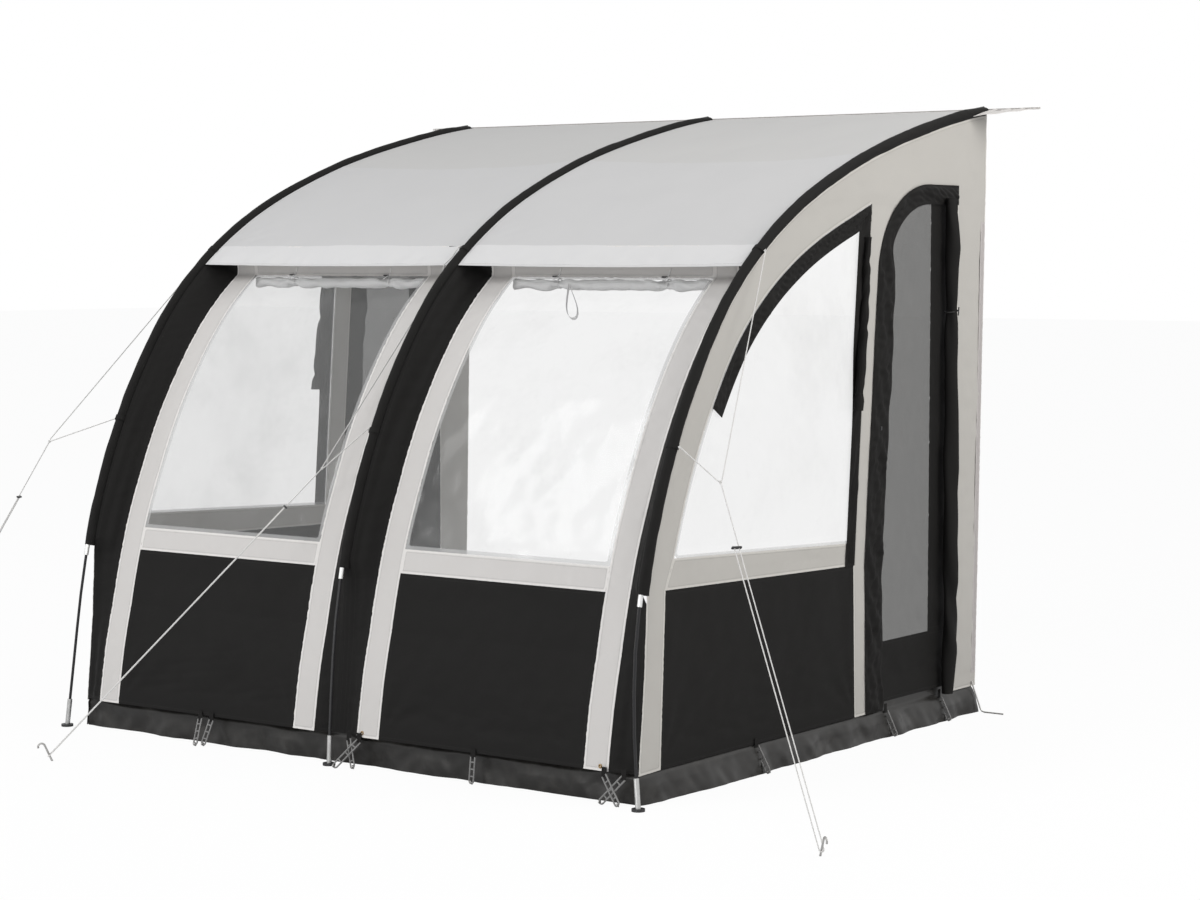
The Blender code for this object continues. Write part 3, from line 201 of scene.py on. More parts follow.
either = sky.nodes.new("ShaderNodeMixShader")
sky.links.new(or_gloss.outputs[0], either.inputs[0])
sky.links.new(plain_light.outputs[0], either.inputs[1])
sky.links.new(white_back.outputs[0], either.inputs[2])
sky.links.new(either.outputs[0], sky.nodes["World Output"].inputs["Surface"])

ground_finish = Finish("ground_white", (0.86, 0.86, 0.86), 0.9)
camera_share = ground_finish.node("ShaderNodeLightPath", {}, {}, "Is Camera Ray") * 0.95
glow = ground_finish.node("ShaderNodeEmission", {}, {"Color": (1.0, 1.0, 1.0, 1.0), "Strength": 1.0})
lit = Wire(ground_finish, ground_finish.surface.outputs[0])
both = ground_finish.node("ShaderNodeMixShader", {}, {0: camera_share, 1: lit, 2: glow})
ground_finish.tree.links.new(both.socket, ground_finish.tree.nodes["Material Output"].inputs["Surface"])
ground_mesh = bpy.data.meshes.new("ground")
reach = 60.0
corners = [(-reach, -reach, -0.001), (reach, -reach, -0.001), (reach, reach, -0.001), (-reach, reach, -0.001)]
ground_mesh.from_pydata(corners, [], [(0, 1, 2, 3)])
ground_mesh.materials.append(ground_finish.material)
ground = bpy.data.objects.new("ground", ground_mesh)
studio.collection.objects.link(ground)

# Arches: fibreglass poles, bent into one sprung curve from the ground to the rail, in
# aluminium feet on black shoes, with a ferrule at each joint. Their solids stay.

HALF_WIDTH = 1.285
FRONT_Y, RAIL_Y, RAIL_HEIGHT, SHOE_RADIUS = -1.217, 1.217, 2.36, 0.0225
ARCH_SHARES = [
    (0.0, 0.0),
    (0.0053, 0.1055),
    (0.0190, 0.2314),
    (0.0538, 0.3749),
    (0.1300, 0.5482),
    (0.2403, 0.7008),
    (0.3884, 0.8143),
    (0.5968, 0.9060),
    (0.8372, 0.9708),
    (1.0, 1.0),
]


def smooth_line(points, per_span=48):
    """A smooth line through points: cubic Hermite spans on knots spaced by root distance."""
    points = np.asarray(points, float)
    knots = np.concatenate([[0.0], np.cumsum(np.sqrt(np.linalg.norm(np.diff(points, axis=0), axis=1)))])
    slopes = np.gradient(points, knots, axis=0, edge_order=min(2, len(points) - 1))
    u = np.linspace(0, 1, per_span, endpoint=False)[None, :, None]
    width = np.diff(knots)[:, None, None]
    start, end, leave, arrive = (a[:, None, :] for a in (points[:-1], points[1:], slopes[:-1], slopes[1:]))
    spans = (1 + 2 * u) * (1 - u) ** 2 * start + u * (1 - u) ** 2 * width * leave
    spans += u * u * (3 - 2 * u) * end + u * u * (u - 1) * width * arrive
    return np.concatenate([spans.reshape(-1, points.shape[1]), points[-1:]])


def distance_along(line):
    """How far each point of a line lies from the first, along the line."""
    return np.concatenate([[0.0], np.cumsum(np.linalg.norm(np.diff(line, axis=0), axis=1))])


def grid(*parts):
    """Points from their coordinates, each spread over the same grid."""
    return np.stack(np.broadcast_arrays(*parts), axis=-1)


def by_table(table, at):
    """Values between the pairs of a table."""
    return np.interp(at, *np.transpose(table))


heel_y = FRONT_Y + SHOE_RADIUS
ARCH = smooth_line([(heel_y + run * (RAIL_Y - heel_y), rise * RAIL_HEIGHT) for run, rise in ARCH_SHARES])
ARCH_S = distance_along(ARCH)
ARCH_TURN = np.gradient(ARCH, ARCH_S, axis=0)


def arch(along, depth=0.0):
    """The y and z at distances along the pole's line, set inwards across it by depth."""
    along, depth = np.broadcast_arrays(np.asarray(along, float), np.asarray(depth, float))
    y, z = (np.interp(along, ARCH_S, ARCH[:, k]) for k in (0, 1))
    ty, tz = (np.interp(along, ARCH_S, ARCH_TURN[:, k]) for k in (0, 1))
    size = np.hypot(ty, tz)
    return y + depth * tz / size, z - depth * ty / size


def on_arch(x, along, depth):
    """Points x, y, z of a surface laid along the arches, as one array."""
    return grid(np.asarray(x, float), *arch(along, depth))


fibreglass = Finish(
    "black_fibreglass", (0.012, 0.012, 0.013), 0.36, Coat_Weight=0.1, Coat_Roughness=0.3, Specular_IOR_Level=0.3
)
strands = fibreglass.noise(fibreglass.stretched((900.0, 900.0, 30.0)), 1.0, 3.0)
fibreglass.feed("Roughness", 0.32 + strands * 0.16)
fibreglass.relief(strands, 0.0002, 0.4)

aluminium = Finish("drawn_aluminium", (0.80, 0.80, 0.79), 0.3, Metallic=1.0)
drawn = aluminium.noise(aluminium.stretched((1400.0, 1400.0, 12.0)), 1.0, 4.0)
smears = aluminium.noise(aluminium.spot(), 45.0, 3.0)
aluminium.feed("Roughness", 0.20 + drawn * 0.12 + smears * 0.14)
aluminium.feed("Base Color", aluminium.tint(smears, (0.70, 0.70, 0.69, 1.0), (0.88, 0.88, 0.87, 1.0)))
aluminium.relief(drawn, 0.0001, 0.35)

SHOE_HEIGHT = 0.009
shod = Finish("tube_on_black_shoe", (0.5, 0.5, 0.49), 0.4)
tube = shod.ramp(shod.part(shod.spot(), "Z"), SHOE_HEIGHT, SHOE_HEIGHT + 0.0004)
scuffs = shod.noise(shod.spot(), 60.0, 4.0)
metal = shod.tint(scuffs, (0.40, 0.40, 0.39, 1.0), (0.60, 0.60, 0.59, 1.0))
shod.feed("Base Color", shod.tint(tube, (0.018, 0.018, 0.019, 1.0), metal))
shod.feed("Metallic", tube)
shod.feed("Roughness", 0.46 - tube * 0.18 + scuffs * 0.14)
shod.relief(scuffs, 0.0002, 0.3)

steel = Finish("galvanised_steel", (0.42, 0.42, 0.41), 0.42, "steel", Metallic=1.0)
grime = steel.noise(steel.spot(), 60.0, 4.0)
steel.feed("Roughness", 0.30 + grime * 0.28)
steel.feed("Base Color", steel.tint(grime, (0.26, 0.25, 0.24, 1.0), (0.55, 0.55, 0.54, 1.0)))
steel.relief(grime, 0.0002, 0.5)


def refinish(node, finish):
    """Give a solid that stays a better finish."""
    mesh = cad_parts[node].data
    mesh.materials.clear()
    mesh.materials.append(finish.material)


SIDES = {"left": -1, "right": 1}
ARCHES = {"left": -HALF_WIDTH, "center": 0.0, "right": HALF_WIDTH}
staying = {
    "lower_pole_": fibreglass, "upper_pole_": fibreglass, "foot_": shod, "ferrule_": aluminium, "guy_peg_": steel
}
for name in ARCHES:
    for kind, finish in staying.items():
        refinish(kind + name, finish)
for name in SIDES:
    refinish("corner_peg_" + name, steel)

# Sleeves: black polyester channels sewn along the roof and sides, that the poles slide in.
# The pole pushes a ridge into each; the cloth gathers at the foot and flattens at the rail.

CLOTH, GAP, THREAD = 0.0015, 0.0003, 0.0012
SLEEVE_RADIUS, POLE_ROOM = 0.020, 0.0055 * 1.3
SLEEVE_SET = SLEEVE_RADIUS - CLOTH - POLE_ROOM - GAP
SEAM_OFFSET = SLEEVE_RADIUS + GAP
WALL_SET = SLEEVE_SET + SLEEVE_RADIUS + GAP
WING_SET = SLEEVE_SET + CLOTH + GAP
SLEEVE_LOW, ROOF_END = 0.695, ARCH_S[-1] - 0.03


def ripple(u, v, size, seed, waves=18, stretch=1.0):
    """Soft unevenness of unit strength: a sum of sine waves of about one length, with
    seeded directions, lengths and phases; stretch lengthens the waves along v."""
    dice = np.random.default_rng(seed)
    turn = dice.uniform(0, 2 * math.pi, waves)
    pace = 2 * math.pi / size * dice.uniform(0.5, 1.7, waves)
    phase = dice.uniform(0, 2 * math.pi, waves)
    total = np.zeros(np.broadcast(u, v).shape)
    for a, k, p in zip(turn, pace, phase):
        total = total + np.sin(k * (u * math.cos(a) + v * math.sin(a) / stretch) + p)
    return total / math.sqrt(waves / 2)


def crease(u, v, size, seed, width=0.28, stretch=1.0):
    """Thin sharp ridges: one where a ripple passes through nought, fading to either side."""
    return np.exp(-((ripple(u, v, size, seed, 12, stretch) / width) ** 2))


def rays(u, v, corner, count, reach, seed):
    """Folds that pull towards a corner: a sine of the angle round it, fading outwards."""
    du, dv = u - corner[0], v - corner[1]
    away = np.hypot(du, dv)
    phase = np.random.default_rng(seed).uniform(0, 2 * math.pi)
    return np.sin(count * np.arctan2(dv, du) + phase) * np.exp(-away / reach) * np.minimum(1, away / (0.3 * reach))


class Patch:
    """One cut of cloth on a grid of points, with its coordinates across and along it in
    metres and its distance to the nearest edge; wrinkle moves it along its normals."""

    def __init__(self, points, wrinkle=None, facing=None, closed=False, sewn=(True, True, True, True)):
        points = np.array(points, float)
        self.u = np.cumsum(np.linalg.norm(np.diff(points, axis=1, prepend=points[:, :1]), axis=2), axis=1)
        self.v = np.cumsum(np.linalg.norm(np.diff(points, axis=0, prepend=points[:1]), axis=2), axis=0)
        wide, long = self.u[:, -1:], self.v[-1:, :]
        self.wide = float(wide.mean())
        gaps = [self.u, wide - self.u, self.v, long - self.v]
        rim = np.minimum.reduce(gaps[2:] if closed else gaps)
        gaps = [np.where(side, gap, 9.0) for side, gap in zip(sewn, gaps)]
        self.edge = np.minimum.reduce(gaps[2:] if closed else gaps)
        normal = np.cross(np.gradient(points, axis=1), np.gradient(points, axis=0))
        normal /= np.maximum(np.linalg.norm(normal, axis=2, keepdims=True), 1e-12)
        self.flip = facing is not None and float((normal @ np.asarray(facing, float)).sum()) < 0
        if self.flip:
            normal = -normal
        corner = [points[:-1, :-1], points[:-1, 1:], points[1:, 1:], points[1:, :-1]]
        halves = [np.cross(corner[1] - corner[0], corner[2] - corner[0])]
        halves.append(np.cross(corner[2] - corner[0], corner[3] - corner[0]))
        self.area = float((sum(np.linalg.norm(half, axis=2) for half in halves) / 2).sum())
        if wrinkle is not None:
            points = points + normal * wrinkle(self.u, self.v, rim)[..., None]
        self.points = points

    def faces(self, first):
        """Its quads, with points counted from first."""
        rows, columns = self.u.shape
        index = first + np.arange(rows * columns).reshape(rows, columns)
        quads = np.stack([index[:-1, :-1], index[:-1, 1:], index[1:, 1:], index[1:, :-1]], axis=-1).reshape(-1, 4)
        return quads[:, ::-1] if self.flip else quads


def free(edge, run=0.03):
    """Nought at a sewn edge and one a run inside it."""
    share = np.clip(edge / run, 0, 1)
    return share * share * (3 - 2 * share)


def make_piece(name, points, faces, finish, body="tent", stands_for=None, attributes=()):
    """A mesh from whole arrays, smooth but for its open rims, with its finish, on its body."""
    mesh = bpy.data.meshes.new(name)
    faces = faces if isinstance(faces, list) else faces.tolist()
    mesh.from_pydata(np.asarray(points, float).reshape(-1, 3).tolist(), [], faces)
    mesh.polygons.foreach_set("use_smooth", np.ones(len(mesh.polygons), bool))
    mesh.materials.append(finish.material)
    used = np.zeros(len(mesh.loops), np.int32)
    mesh.loops.foreach_get("edge_index", used)
    mesh.edges.foreach_set("use_edge_sharp", np.bincount(used, minlength=len(mesh.edges)) == 1)
    for key, values in attributes:
        mesh.attributes.new(key, "FLOAT", "POINT").data.foreach_set("value", np.asarray(values, np.float32).ravel())
    piece = bpy.data.objects.new(name, mesh)
    studio.collection.objects.link(piece)
    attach(piece, body)
    if stands_for:
        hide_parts(stands_for)
    return piece


def sew(name, patches, finish, stands_for=None, rests_on=(), body="tent", thick=THREAD):
    """One piece of cloth from its patches, with its cloth map, its edges and its thickness."""
    points, faces, first = [], [], 0
    for patch in patches:
        faces.append(patch.faces(first))
        points.append(patch.points.reshape(-1, 3))
        first += len(points[-1])
    edges = [("edge", np.concatenate([patch.edge.ravel() for patch in patches]))]
    piece = make_piece(name, np.concatenate(points), np.concatenate(faces), finish, body, stands_for, edges)
    flat_map = np.concatenate([grid(patch.u, patch.v).reshape(-1, 2) for patch in patches])
    corner = np.zeros(len(piece.data.loops), np.int32)
    piece.data.loops.foreach_get("vertex_index", corner)
    piece.data.uv_layers.new(name="cloth").data.foreach_set("uv", flat_map[corner].astype(np.float32).ravel())
    if thick:
        wall = piece.modifiers.new("cloth", "SOLIDIFY")
        wall.thickness, wall.offset = thick, 0.0
    return piece


def shaded(colour, share):
    """A colour made lighter or darker by a share, as a colour with alpha."""
    return (*(channel * share for channel in colour[:3]), 1.0)


def cloth_finish(name, slot, colour, roughness, mottle, hem, weave=0.0004, stitch=0.62, band=0.0, seam=0.0):
    """Woven polyester: a plain weave under a soft unevenness of colour, with a folded hem
    and a row of lockstitch along every sewn edge. The hem carries a painted highlight,
    lighter by a tenth of hem. Up to band the cloth is doubled and lighter, with a painted
    highlight along its bottom hem, and past seam it is a little darker."""
    finish = Finish(name, colour, roughness, slot, Specular_IOR_Level=0.10)
    edge = finish.to_edge()
    across, along = (finish.part(finish.cloth_map(), axis) for axis in (0, 1))
    warp = (across * (math.pi / 0.0011)).math("SINE") * (along * (math.pi / 0.0011)).math("SINE")
    cloud = finish.noise(finish.spot(), 5.5, 4.0, 0.6)
    fine = finish.noise(finish.spot(), 170.0, 2.0)
    fold = 1.0 - finish.ramp(edge, 0.0055, 0.0085)
    row = (edge > 0.0100) * (edge < 0.0113)
    thread = row * (((across + along) / 0.0034).math("FRACT") < 0.72)
    shade = finish.tint(cloud, shaded(colour, 1 - mottle), shaded(colour, 1 + mottle))
    if band:
        doubled = 1.0 - finish.ramp(along, band - 0.003, band + 0.003)
        beyond = finish.ramp(along, seam - 0.002, seam + 0.002)
        shade = finish.tint(doubled * 0.85, shade, shaded(colour, 1.19))
        # Painted highlight: a bright line painted along the visor's bottom hem.
        shade = finish.tint(1.0 - finish.ramp(along, 0.004, 0.007), shade, shaded(colour, 1.55))
        shade = finish.tint(beyond * 0.6, shade, (colour[0] * 0.94, colour[1] * 0.935, colour[2] * 0.91, 1.0))
    # Painted highlight: the folded hem is painted lighter, where the fold would catch the light.
    shade = finish.tint(fold * 0.9, shade, shaded(colour, 1 + 0.10 * hem))
    finish.feed("Base Color", finish.tint(thread * 0.8, shade, shaded(colour, stitch)))
    finish.feed("Roughness", roughness - 0.06 + fine * 0.12)
    finish.relief(warp * 0.10 + fine * 0.25 + fold * 0.9 - thread * 0.8, weave, 0.55)
    return finish


black_cloth = cloth_finish("black_polyester", "black_cloth", (0.0118, 0.0113, 0.0108), 0.70, 0.10, 0.6, stitch=1.9)


def sleeve_points(x, along, seed):
    """A channel round the pole's line: radius as a function of the angle and the distance,
    with a ridge at the pole and one at the wall's seam opposite, cross folds near the foot,
    and the top half flattened over the last stretch."""
    angle = np.linspace(-math.pi, math.pi, 31)[None, :]
    s = along[:, None]
    seam = np.exp(-(((math.pi - np.abs(angle)) / 0.30) ** 2))
    radius = 0.0178 + 0.0024 * np.exp(-((angle / 0.55) ** 2)) + 0.0027 * seam
    foot = np.exp(-(s - SLEEVE_LOW) / 0.16)
    folds = ripple(angle * 0.02, s, 0.055, seed, 14, 1.6) * (0.35 + 0.9 * foot)
    radius = np.minimum(radius + 0.0007 * folds + 0.0006 * ripple(angle * 0.02, s, 0.23, seed + 7), 0.0205)
    flat = 1 - 0.45 * np.clip((s - (ROOF_END - 0.16)) / 0.16, 0, 1) * (np.abs(angle) < math.pi / 2)
    return on_arch(x + radius * np.sin(angle), s, SLEEVE_SET - radius * np.cos(angle) * flat)


for seed, (name, x) in enumerate(ARCHES.items()):
    channel = Patch(sleeve_points(x, np.linspace(SLEEVE_LOW, ROOF_END - GAP, 400), 11 + seed), closed=True)
    channel.flip = True
    sew("pole_sleeve_" + name, [channel], black_cloth, "sleeve_" + name, rests_on=["upper_pole_" + name])

# Roof: two light grey polyester panels, sewn to the sleeves and sagging a little between
# them. A cross seam joins two widths, and the front hangs over the bays as a hemmed visor.

HEM_AT, VISOR_LAP, ROOF_SAG = 1.950, 0.120, 0.022
CROSS_SEAM_AT, HEM_DROOP = 2.87, 0.007
roof_cloth = cloth_finish(
    "roof_polyester", "roof_cloth", (0.545, 0.541, 0.536), 0.7, 0.018, 0.5, 0.0003,
    band=VISOR_LAP, seam=CROSS_SEAM_AT - HEM_AT,
)


def roof_patch(low_x, high_x, seed):
    """A sheet on the arches that sags by a parabola across and half a sine along, its visor
    drooping by a parabola towards the hem, with a raised strip at the cross seam."""
    s = np.linspace(HEM_AT, ROOF_END - GAP, 190)[:, None]
    share = np.linspace(0, 1, 110)[None, :]
    bow = 4 * share * (1 - share)
    start = HEM_AT + VISOR_LAP
    run = np.clip((s - start) / (ROOF_END - start), 0, 1)
    hang = np.clip((start - s) / VISOR_LAP, 0, 1) ** 1.6
    depth = SLEEVE_SET + CLOTH / 2 + ROOF_SAG * bow * np.sin(math.pi * run) + HEM_DROOP * bow * hang

    def wrinkle(u, v, edge):
        wide, seam = u.max(), CROSS_SEAM_AT - HEM_AT
        fold = 0.0007 * np.exp(-(((v - seam) / 0.008) ** 4)) + 0.0005 * np.exp(-(((v - 0.045) / 0.002) ** 2))
        pull = sum(rays(u, v, (c, VISOR_LAP), 17, 0.16, seed + k) for k, c in enumerate((0.0, wide)))
        soft = 0.0011 * ripple(u, v, 0.55, seed) + 0.0006 * ripple(u, v, 0.20, seed + 1, stretch=2.0)
        rim = np.exp(-edge / 0.05) * ripple(u, v, 0.045, seed + 2) * 0.0007
        visor = np.exp(-v / 0.09) * 0.0016 * ripple(u, v, 0.11, seed + 3)
        return free(edge, 0.02) * (soft + 0.0014 * pull + rim + visor) + fold

    return Patch(on_arch(low_x + share * (high_x - low_x), s, depth), wrinkle, (0, -0.5, 1))


roof_ends = {"left": (-HALF_WIDTH + SEAM_OFFSET, -SEAM_OFFSET), "right": (SEAM_OFFSET, HALF_WIDTH - SEAM_OFFSET)}
for order, (name, ends) in enumerate(roof_ends.items()):
    panel = roof_patch(*ends, 31 + 10 * order)
    sew("roof_panel_" + name, [panel], roof_cloth, "roof_" + name, rests_on=["pole_sleeve_" + name])

# Rail strip: a round bead in a folded tape along the roof's rear edge, that slides into an
# awning rail, with a free wing past either outer arch.

BEAD_RADIUS, RAIL_REACH, WING_DEPTH = 0.0035, HALF_WIDTH + 0.225, 0.150
pale_cloth = cloth_finish("pale_polyester", "pale_cloth", (0.585, 0.566, 0.545), 0.75, 0.025, 2.4)

start_y, start_z = arch(ROOF_END, SLEEVE_SET + CLOTH / 2)
back_y, back_z = arch(ROOF_END - 0.03, SLEEVE_SET + CLOTH / 2)
slope = float((start_z - back_z) / (start_y - back_y))
bead_y = RAIL_Y - BEAD_RADIUS
bead_z = float(start_z + slope * (bead_y - start_y))
x = np.linspace(-RAIL_REACH, RAIL_REACH, 280)[:, None]
full = np.clip((RAIL_REACH - np.abs(x)) / (RAIL_REACH - HALF_WIDTH - SEAM_OFFSET), 0, 1)
tail = np.linspace(0, 1, 14)[None, :]
tape_y = bead_y - BEAD_RADIUS * 0.9 + (float(start_y) - bead_y) * tail * full
tape_z = bead_z + slope * (tape_y - bead_y) + 0.0007 * np.sin(x * 61.0) * tail * full
turn = np.linspace(-0.80 * math.pi, 0.80 * math.pi, 17)[None, :]
bead = Patch(grid(x, bead_y + BEAD_RADIUS * np.cos(turn), bead_z + BEAD_RADIUS * np.sin(turn)), closed=True)
share = np.linspace(0, 1, 44)[:, None]
rail_cuts = [Patch(grid(x, tape_y, tape_z), None, (0, 0, 1)), bead]
for side in (-1, 1):
    wing_x = side * (HALF_WIDTH + 0.018 + share * (RAIL_REACH - HALF_WIDTH - 0.020))
    reach = WING_DEPTH * (1 - share) ** 0.85 * np.linspace(0, 1, 16)[None, :]
    wing_y = bead_y - BEAD_RADIUS * 0.9 - reach
    flutter = 0.0015 * np.sin(22 * share + 30 * reach)
    wing_z = bead_z + slope * (wing_y - bead_y) - 0.010 * reach / WING_DEPTH + flutter
    rail_cuts.append(Patch(grid(wing_x, wing_y, wing_z), None, (0, 0, 1)))
sew("rail_tape", rail_cuts, pale_cloth, "rail_strip", rests_on=["roof_panel_left"])

# Front bays: each has pale strips round a window of clear film, a black lower panel, and
# a header under the visor, with the curtain rolled up and tied behind the window's top.

GUSSET_WIDTH = STRIP_WIDTH = 0.100
FRONT_BOTTOM, LOWER_TOP, BAND_HEIGHT, HEADER_AT = 0.108, 0.700, 0.090, 2.000
FRONT_SET = 0.103
FRONT_SET_SHARES = [
    (0.0, 0.22), (0.06, 0.28), (0.16, 0.45), (0.25, 0.68), (0.37, 0.80), (0.53, 0.92), (0.79, 0.97), (1.0, 1.0)
]


def front_depth(along):
    """How far the front lies behind the poles' line; it closes forward under the visor."""
    depth = FRONT_SET * by_table(FRONT_SET_SHARES, np.minimum(1.0, np.asarray(along, float) / HEM_AT))
    run = np.clip((along - HEADER_AT) / (HEM_AT + VISOR_LAP - HEADER_AT), 0, 1)
    return depth + (WING_SET - depth) * run * run * (3 - 2 * run)


def front_patch(x_ends, s_ends, cells, wrinkle):
    """A grid on the front's surface between two x and two distances along the poles."""
    x = np.linspace(*x_ends, cells[0])[None, :]
    s = np.linspace(*s_ends, cells[1])[:, None]
    return Patch(on_arch(x, s, front_depth(s) + CLOTH / 2), wrinkle, (0, -1, 0.2))


def strip_wrinkle(seed, size=0.0011):
    """Sewn tape: short puckers at its seams and a slow unevenness along it."""
    def wrinkle(u, v, edge):
        pucker = np.exp(-edge / 0.014) * ripple(u, v, 0.022, seed, 20) * 0.0008
        soft = size * ripple(u, v, 0.22, seed + 1, stretch=2.5) + 0.0004 * ripple(u, v, 0.07, seed + 2)
        return pucker + free(edge, 0.02) * soft
    return wrinkle


def film_wrinkle(seed, size=0.0022):
    """Film that was stored folded: slow waves with a few thin creases across them."""
    def wrinkle(u, v, edge):
        waves = size * ripple(u, v, 0.42, seed) + 0.35 * size * ripple(u, v, 0.15, seed + 1)
        return free(edge, 0.05) * (waves + 0.0009 * crease(u, v, 0.5, seed + 2, 0.05))
    return wrinkle


def panel_wrinkle(seed, size=0.0026):
    """Cloth pulled between its seams: flat folds from both lower corners and a slow wave."""
    def wrinkle(u, v, edge):
        wide = u.max()
        pull = rays(u, v, (0, 0), 13, 0.30, seed) + rays(u, v, (wide, 0), 13, 0.30, seed + 1)
        low = np.exp(-v / 0.13) * ripple(u * 0.35, v, 0.05, seed + 2)
        slow = ripple(u, v, 0.40, seed + 3) + 0.4 * ripple(u, v, 0.13, seed + 4)
        above = free(np.maximum(v - 0.032, 0), 0.06)
        pulled = free(edge, 0.04) * (0.0022 * pull + 0.0016 * low + 0.45 * size * slow)
        return above * (pulled - free(edge, 0.10) * 0.004)
    return wrinkle


def film_finish(name, colour, gloss, milk, scuff_scale, clearness, smoothness):
    """Clear film: milky clouds, fine scuffs and the welded rim make it less clear. The
    clearness gives its least alpha, where clouds begin, and the shares of all three."""
    finish = Finish(name, colour, 0.10, "clear_film", Specular_IOR_Level=gloss)
    least, begin, of_milk, of_scuff, of_weld = clearness
    clouds = finish.noise(finish.spot(), *milk)
    scuff = finish.noise(finish.spot(), scuff_scale, 6.0, 0.7)
    alpha = least + finish.ramp(clouds, begin, 0.75) * of_milk + finish.ramp(scuff, 0.55, 0.8) * of_scuff
    finish.feed("Alpha", alpha + (1.0 - finish.ramp(finish.to_edge(), 0.010, 0.016)) * of_weld)
    finish.feed("Roughness", smoothness[0] + clouds * 0.10 + scuff * smoothness[1])
    finish.relief(clouds * 0.8 + scuff * 0.2, 0.004, 0.25)
    return finish


front_film = film_finish(
    "clear_film", (0.46, 0.46, 0.45), 0.6, (2.2, 5.0, 0.65), 26.0, (0.19, 0.45, 0.11, 0.06, 0.45), (0.06, 0.08)
)
# The curtain's cloth is the pale strips' cloth painted far lighter: painted light that lifts the shade of the visor
# and the film over the roll.
curtain_cloth_painted_light = cloth_finish("curtain_polyester_painted_light", "pale_cloth", (0.83, 0.825, 0.815), 0.75, 0.03, 0.4)
CURTAIN_AT, CURTAIN_RADIUS, CURTAIN_TURNS = 1.994, 0.0235, 4
CURTAIN_TIES, CURTAIN_THICK = (0.236, 0.78), 0.0008


def curtain_roll(low_x, high_x, seed):
    """A cloth spiral along x: the radius grows with the turns, is pinched at each tie, and
    slants in folds beside it; the outer turn ends as a free edge at the back."""
    t = np.linspace(0, 1, 240)[:, None]
    turn = np.linspace(0.12, 1, CURTAIN_TURNS * 18)[None, :]
    angle = 2 * math.pi * CURTAIN_TURNS * turn
    tie = np.min([np.abs(t - c) for c in CURTAIN_TIES], axis=0)
    ends = np.minimum(t, 1 - t)
    pinch = 1 - 0.30 * np.exp(-((tie / 0.030) ** 2)) - 0.10 * np.exp(-((t / 0.05) ** 2))
    pinch = pinch - 0.08 * np.exp(-(((1 - t) / 0.05) ** 2))
    pleats = np.exp(-tie / 0.09) * np.sin(3 * angle + 48 * t) + np.exp(-ends / 0.13) * np.sin(2 * angle - 44 * t)
    lump = 0.93 + 0.05 * ripple(t * 0.9, angle * 0.02, 0.10, seed) + 0.22 * pleats
    lump = lump + 0.13 * np.sin(2 * angle + 26 * t + 3 * np.sin(7 * t)) * np.sin(9 * t + 1) ** 2
    radius = CURTAIN_RADIUS * np.minimum(turn * pinch * lump, 1.12)
    depth = front_depth(CURTAIN_AT) + CLOTH + GAP + CURTAIN_RADIUS * 1.14
    sag = 0.003 * np.sin(math.pi * (t * 2 % 1)) * (pinch > 0.9)
    along = CURTAIN_AT - sag + radius * np.sin(angle)
    return Patch(on_arch(low_x + t * (high_x - low_x), along, depth - radius * np.cos(angle)))


black_plastic = Finish("black_plastic", (0.018, 0.018, 0.019), 0.45, "black_plastic")
grain = black_plastic.noise(black_plastic.spot(), 900.0, 3.0)
black_plastic.feed("Roughness", 0.38 + grain * 0.2)
black_plastic.feed("Base Color", black_plastic.tint(grain, (0.014, 0.014, 0.015, 1.0), (0.026, 0.026, 0.027, 1.0)))
black_plastic.relief(grain, 0.0001, 0.4)


def tube_along(path, radius, sides=12):
    """Rings of a radius, one value or one for each point, carried along a path on frames
    that lean on one steady direction; first and last rings are drawn shut."""
    path = np.asarray(path, float)
    ahead = np.gradient(path, axis=0)
    ahead /= np.linalg.norm(ahead, axis=1, keepdims=True)
    steady = np.array([0.31, 0.53, 0.79]) if abs(ahead[:, 2]).mean() < 0.8 else np.array([1.0, 0.2, 0.0])
    right = np.cross(ahead, steady)
    right /= np.linalg.norm(right, axis=1, keepdims=True)
    above = np.cross(right, ahead)
    angle = np.linspace(0, 2 * math.pi, sides, endpoint=False)[None, :, None]
    size = np.broadcast_to(np.asarray(radius, float), (len(path),))[:, None, None]
    rings = path[:, None, :] + size * (np.cos(angle) * right[:, None, :] + np.sin(angle) * above[:, None, :])
    index = np.arange(len(path) * sides).reshape(len(path), sides)
    after = np.roll(index, -1, axis=1)
    quads = np.stack([index[:-1], index[1:], after[1:], after[:-1]], axis=-1).reshape(-1, 4)
    first, last = len(path) * sides, len(path) * sides + 1
    caps = [(first, a, b) for a, b in zip(index[0], after[0])] + [(last, b, a) for a, b in zip(index[-1], after[-1])]
    return np.concatenate([rings.reshape(-1, 3), path[:1], path[-1:]]), [*map(tuple, quads), *caps]


def join_meshes(parts):
    """Several (points, faces) as one."""
    points, faces, first = [], [], 0
    for some, around in parts:
        points.append(np.asarray(some, float))
        faces += [[int(i) + first for i in face] for face in around]
        first += len(some)
    return np.concatenate(points), faces


def toggle_bar(centre, reach=0.014, radius=0.0026):
    """A short bar along x with rounded ends and a waist where its loop sits."""
    t = np.linspace(-1, 1, 15)
    size = radius * np.sqrt(np.clip(1 - np.abs(t) ** 8, 0.02, 1)) * (0.78 + 0.22 * np.clip(np.abs(t) * 3, 0, 1))
    return tube_along(np.asarray(centre, float) + grid(t * reach, 0 * t, 0 * t), size, 10)


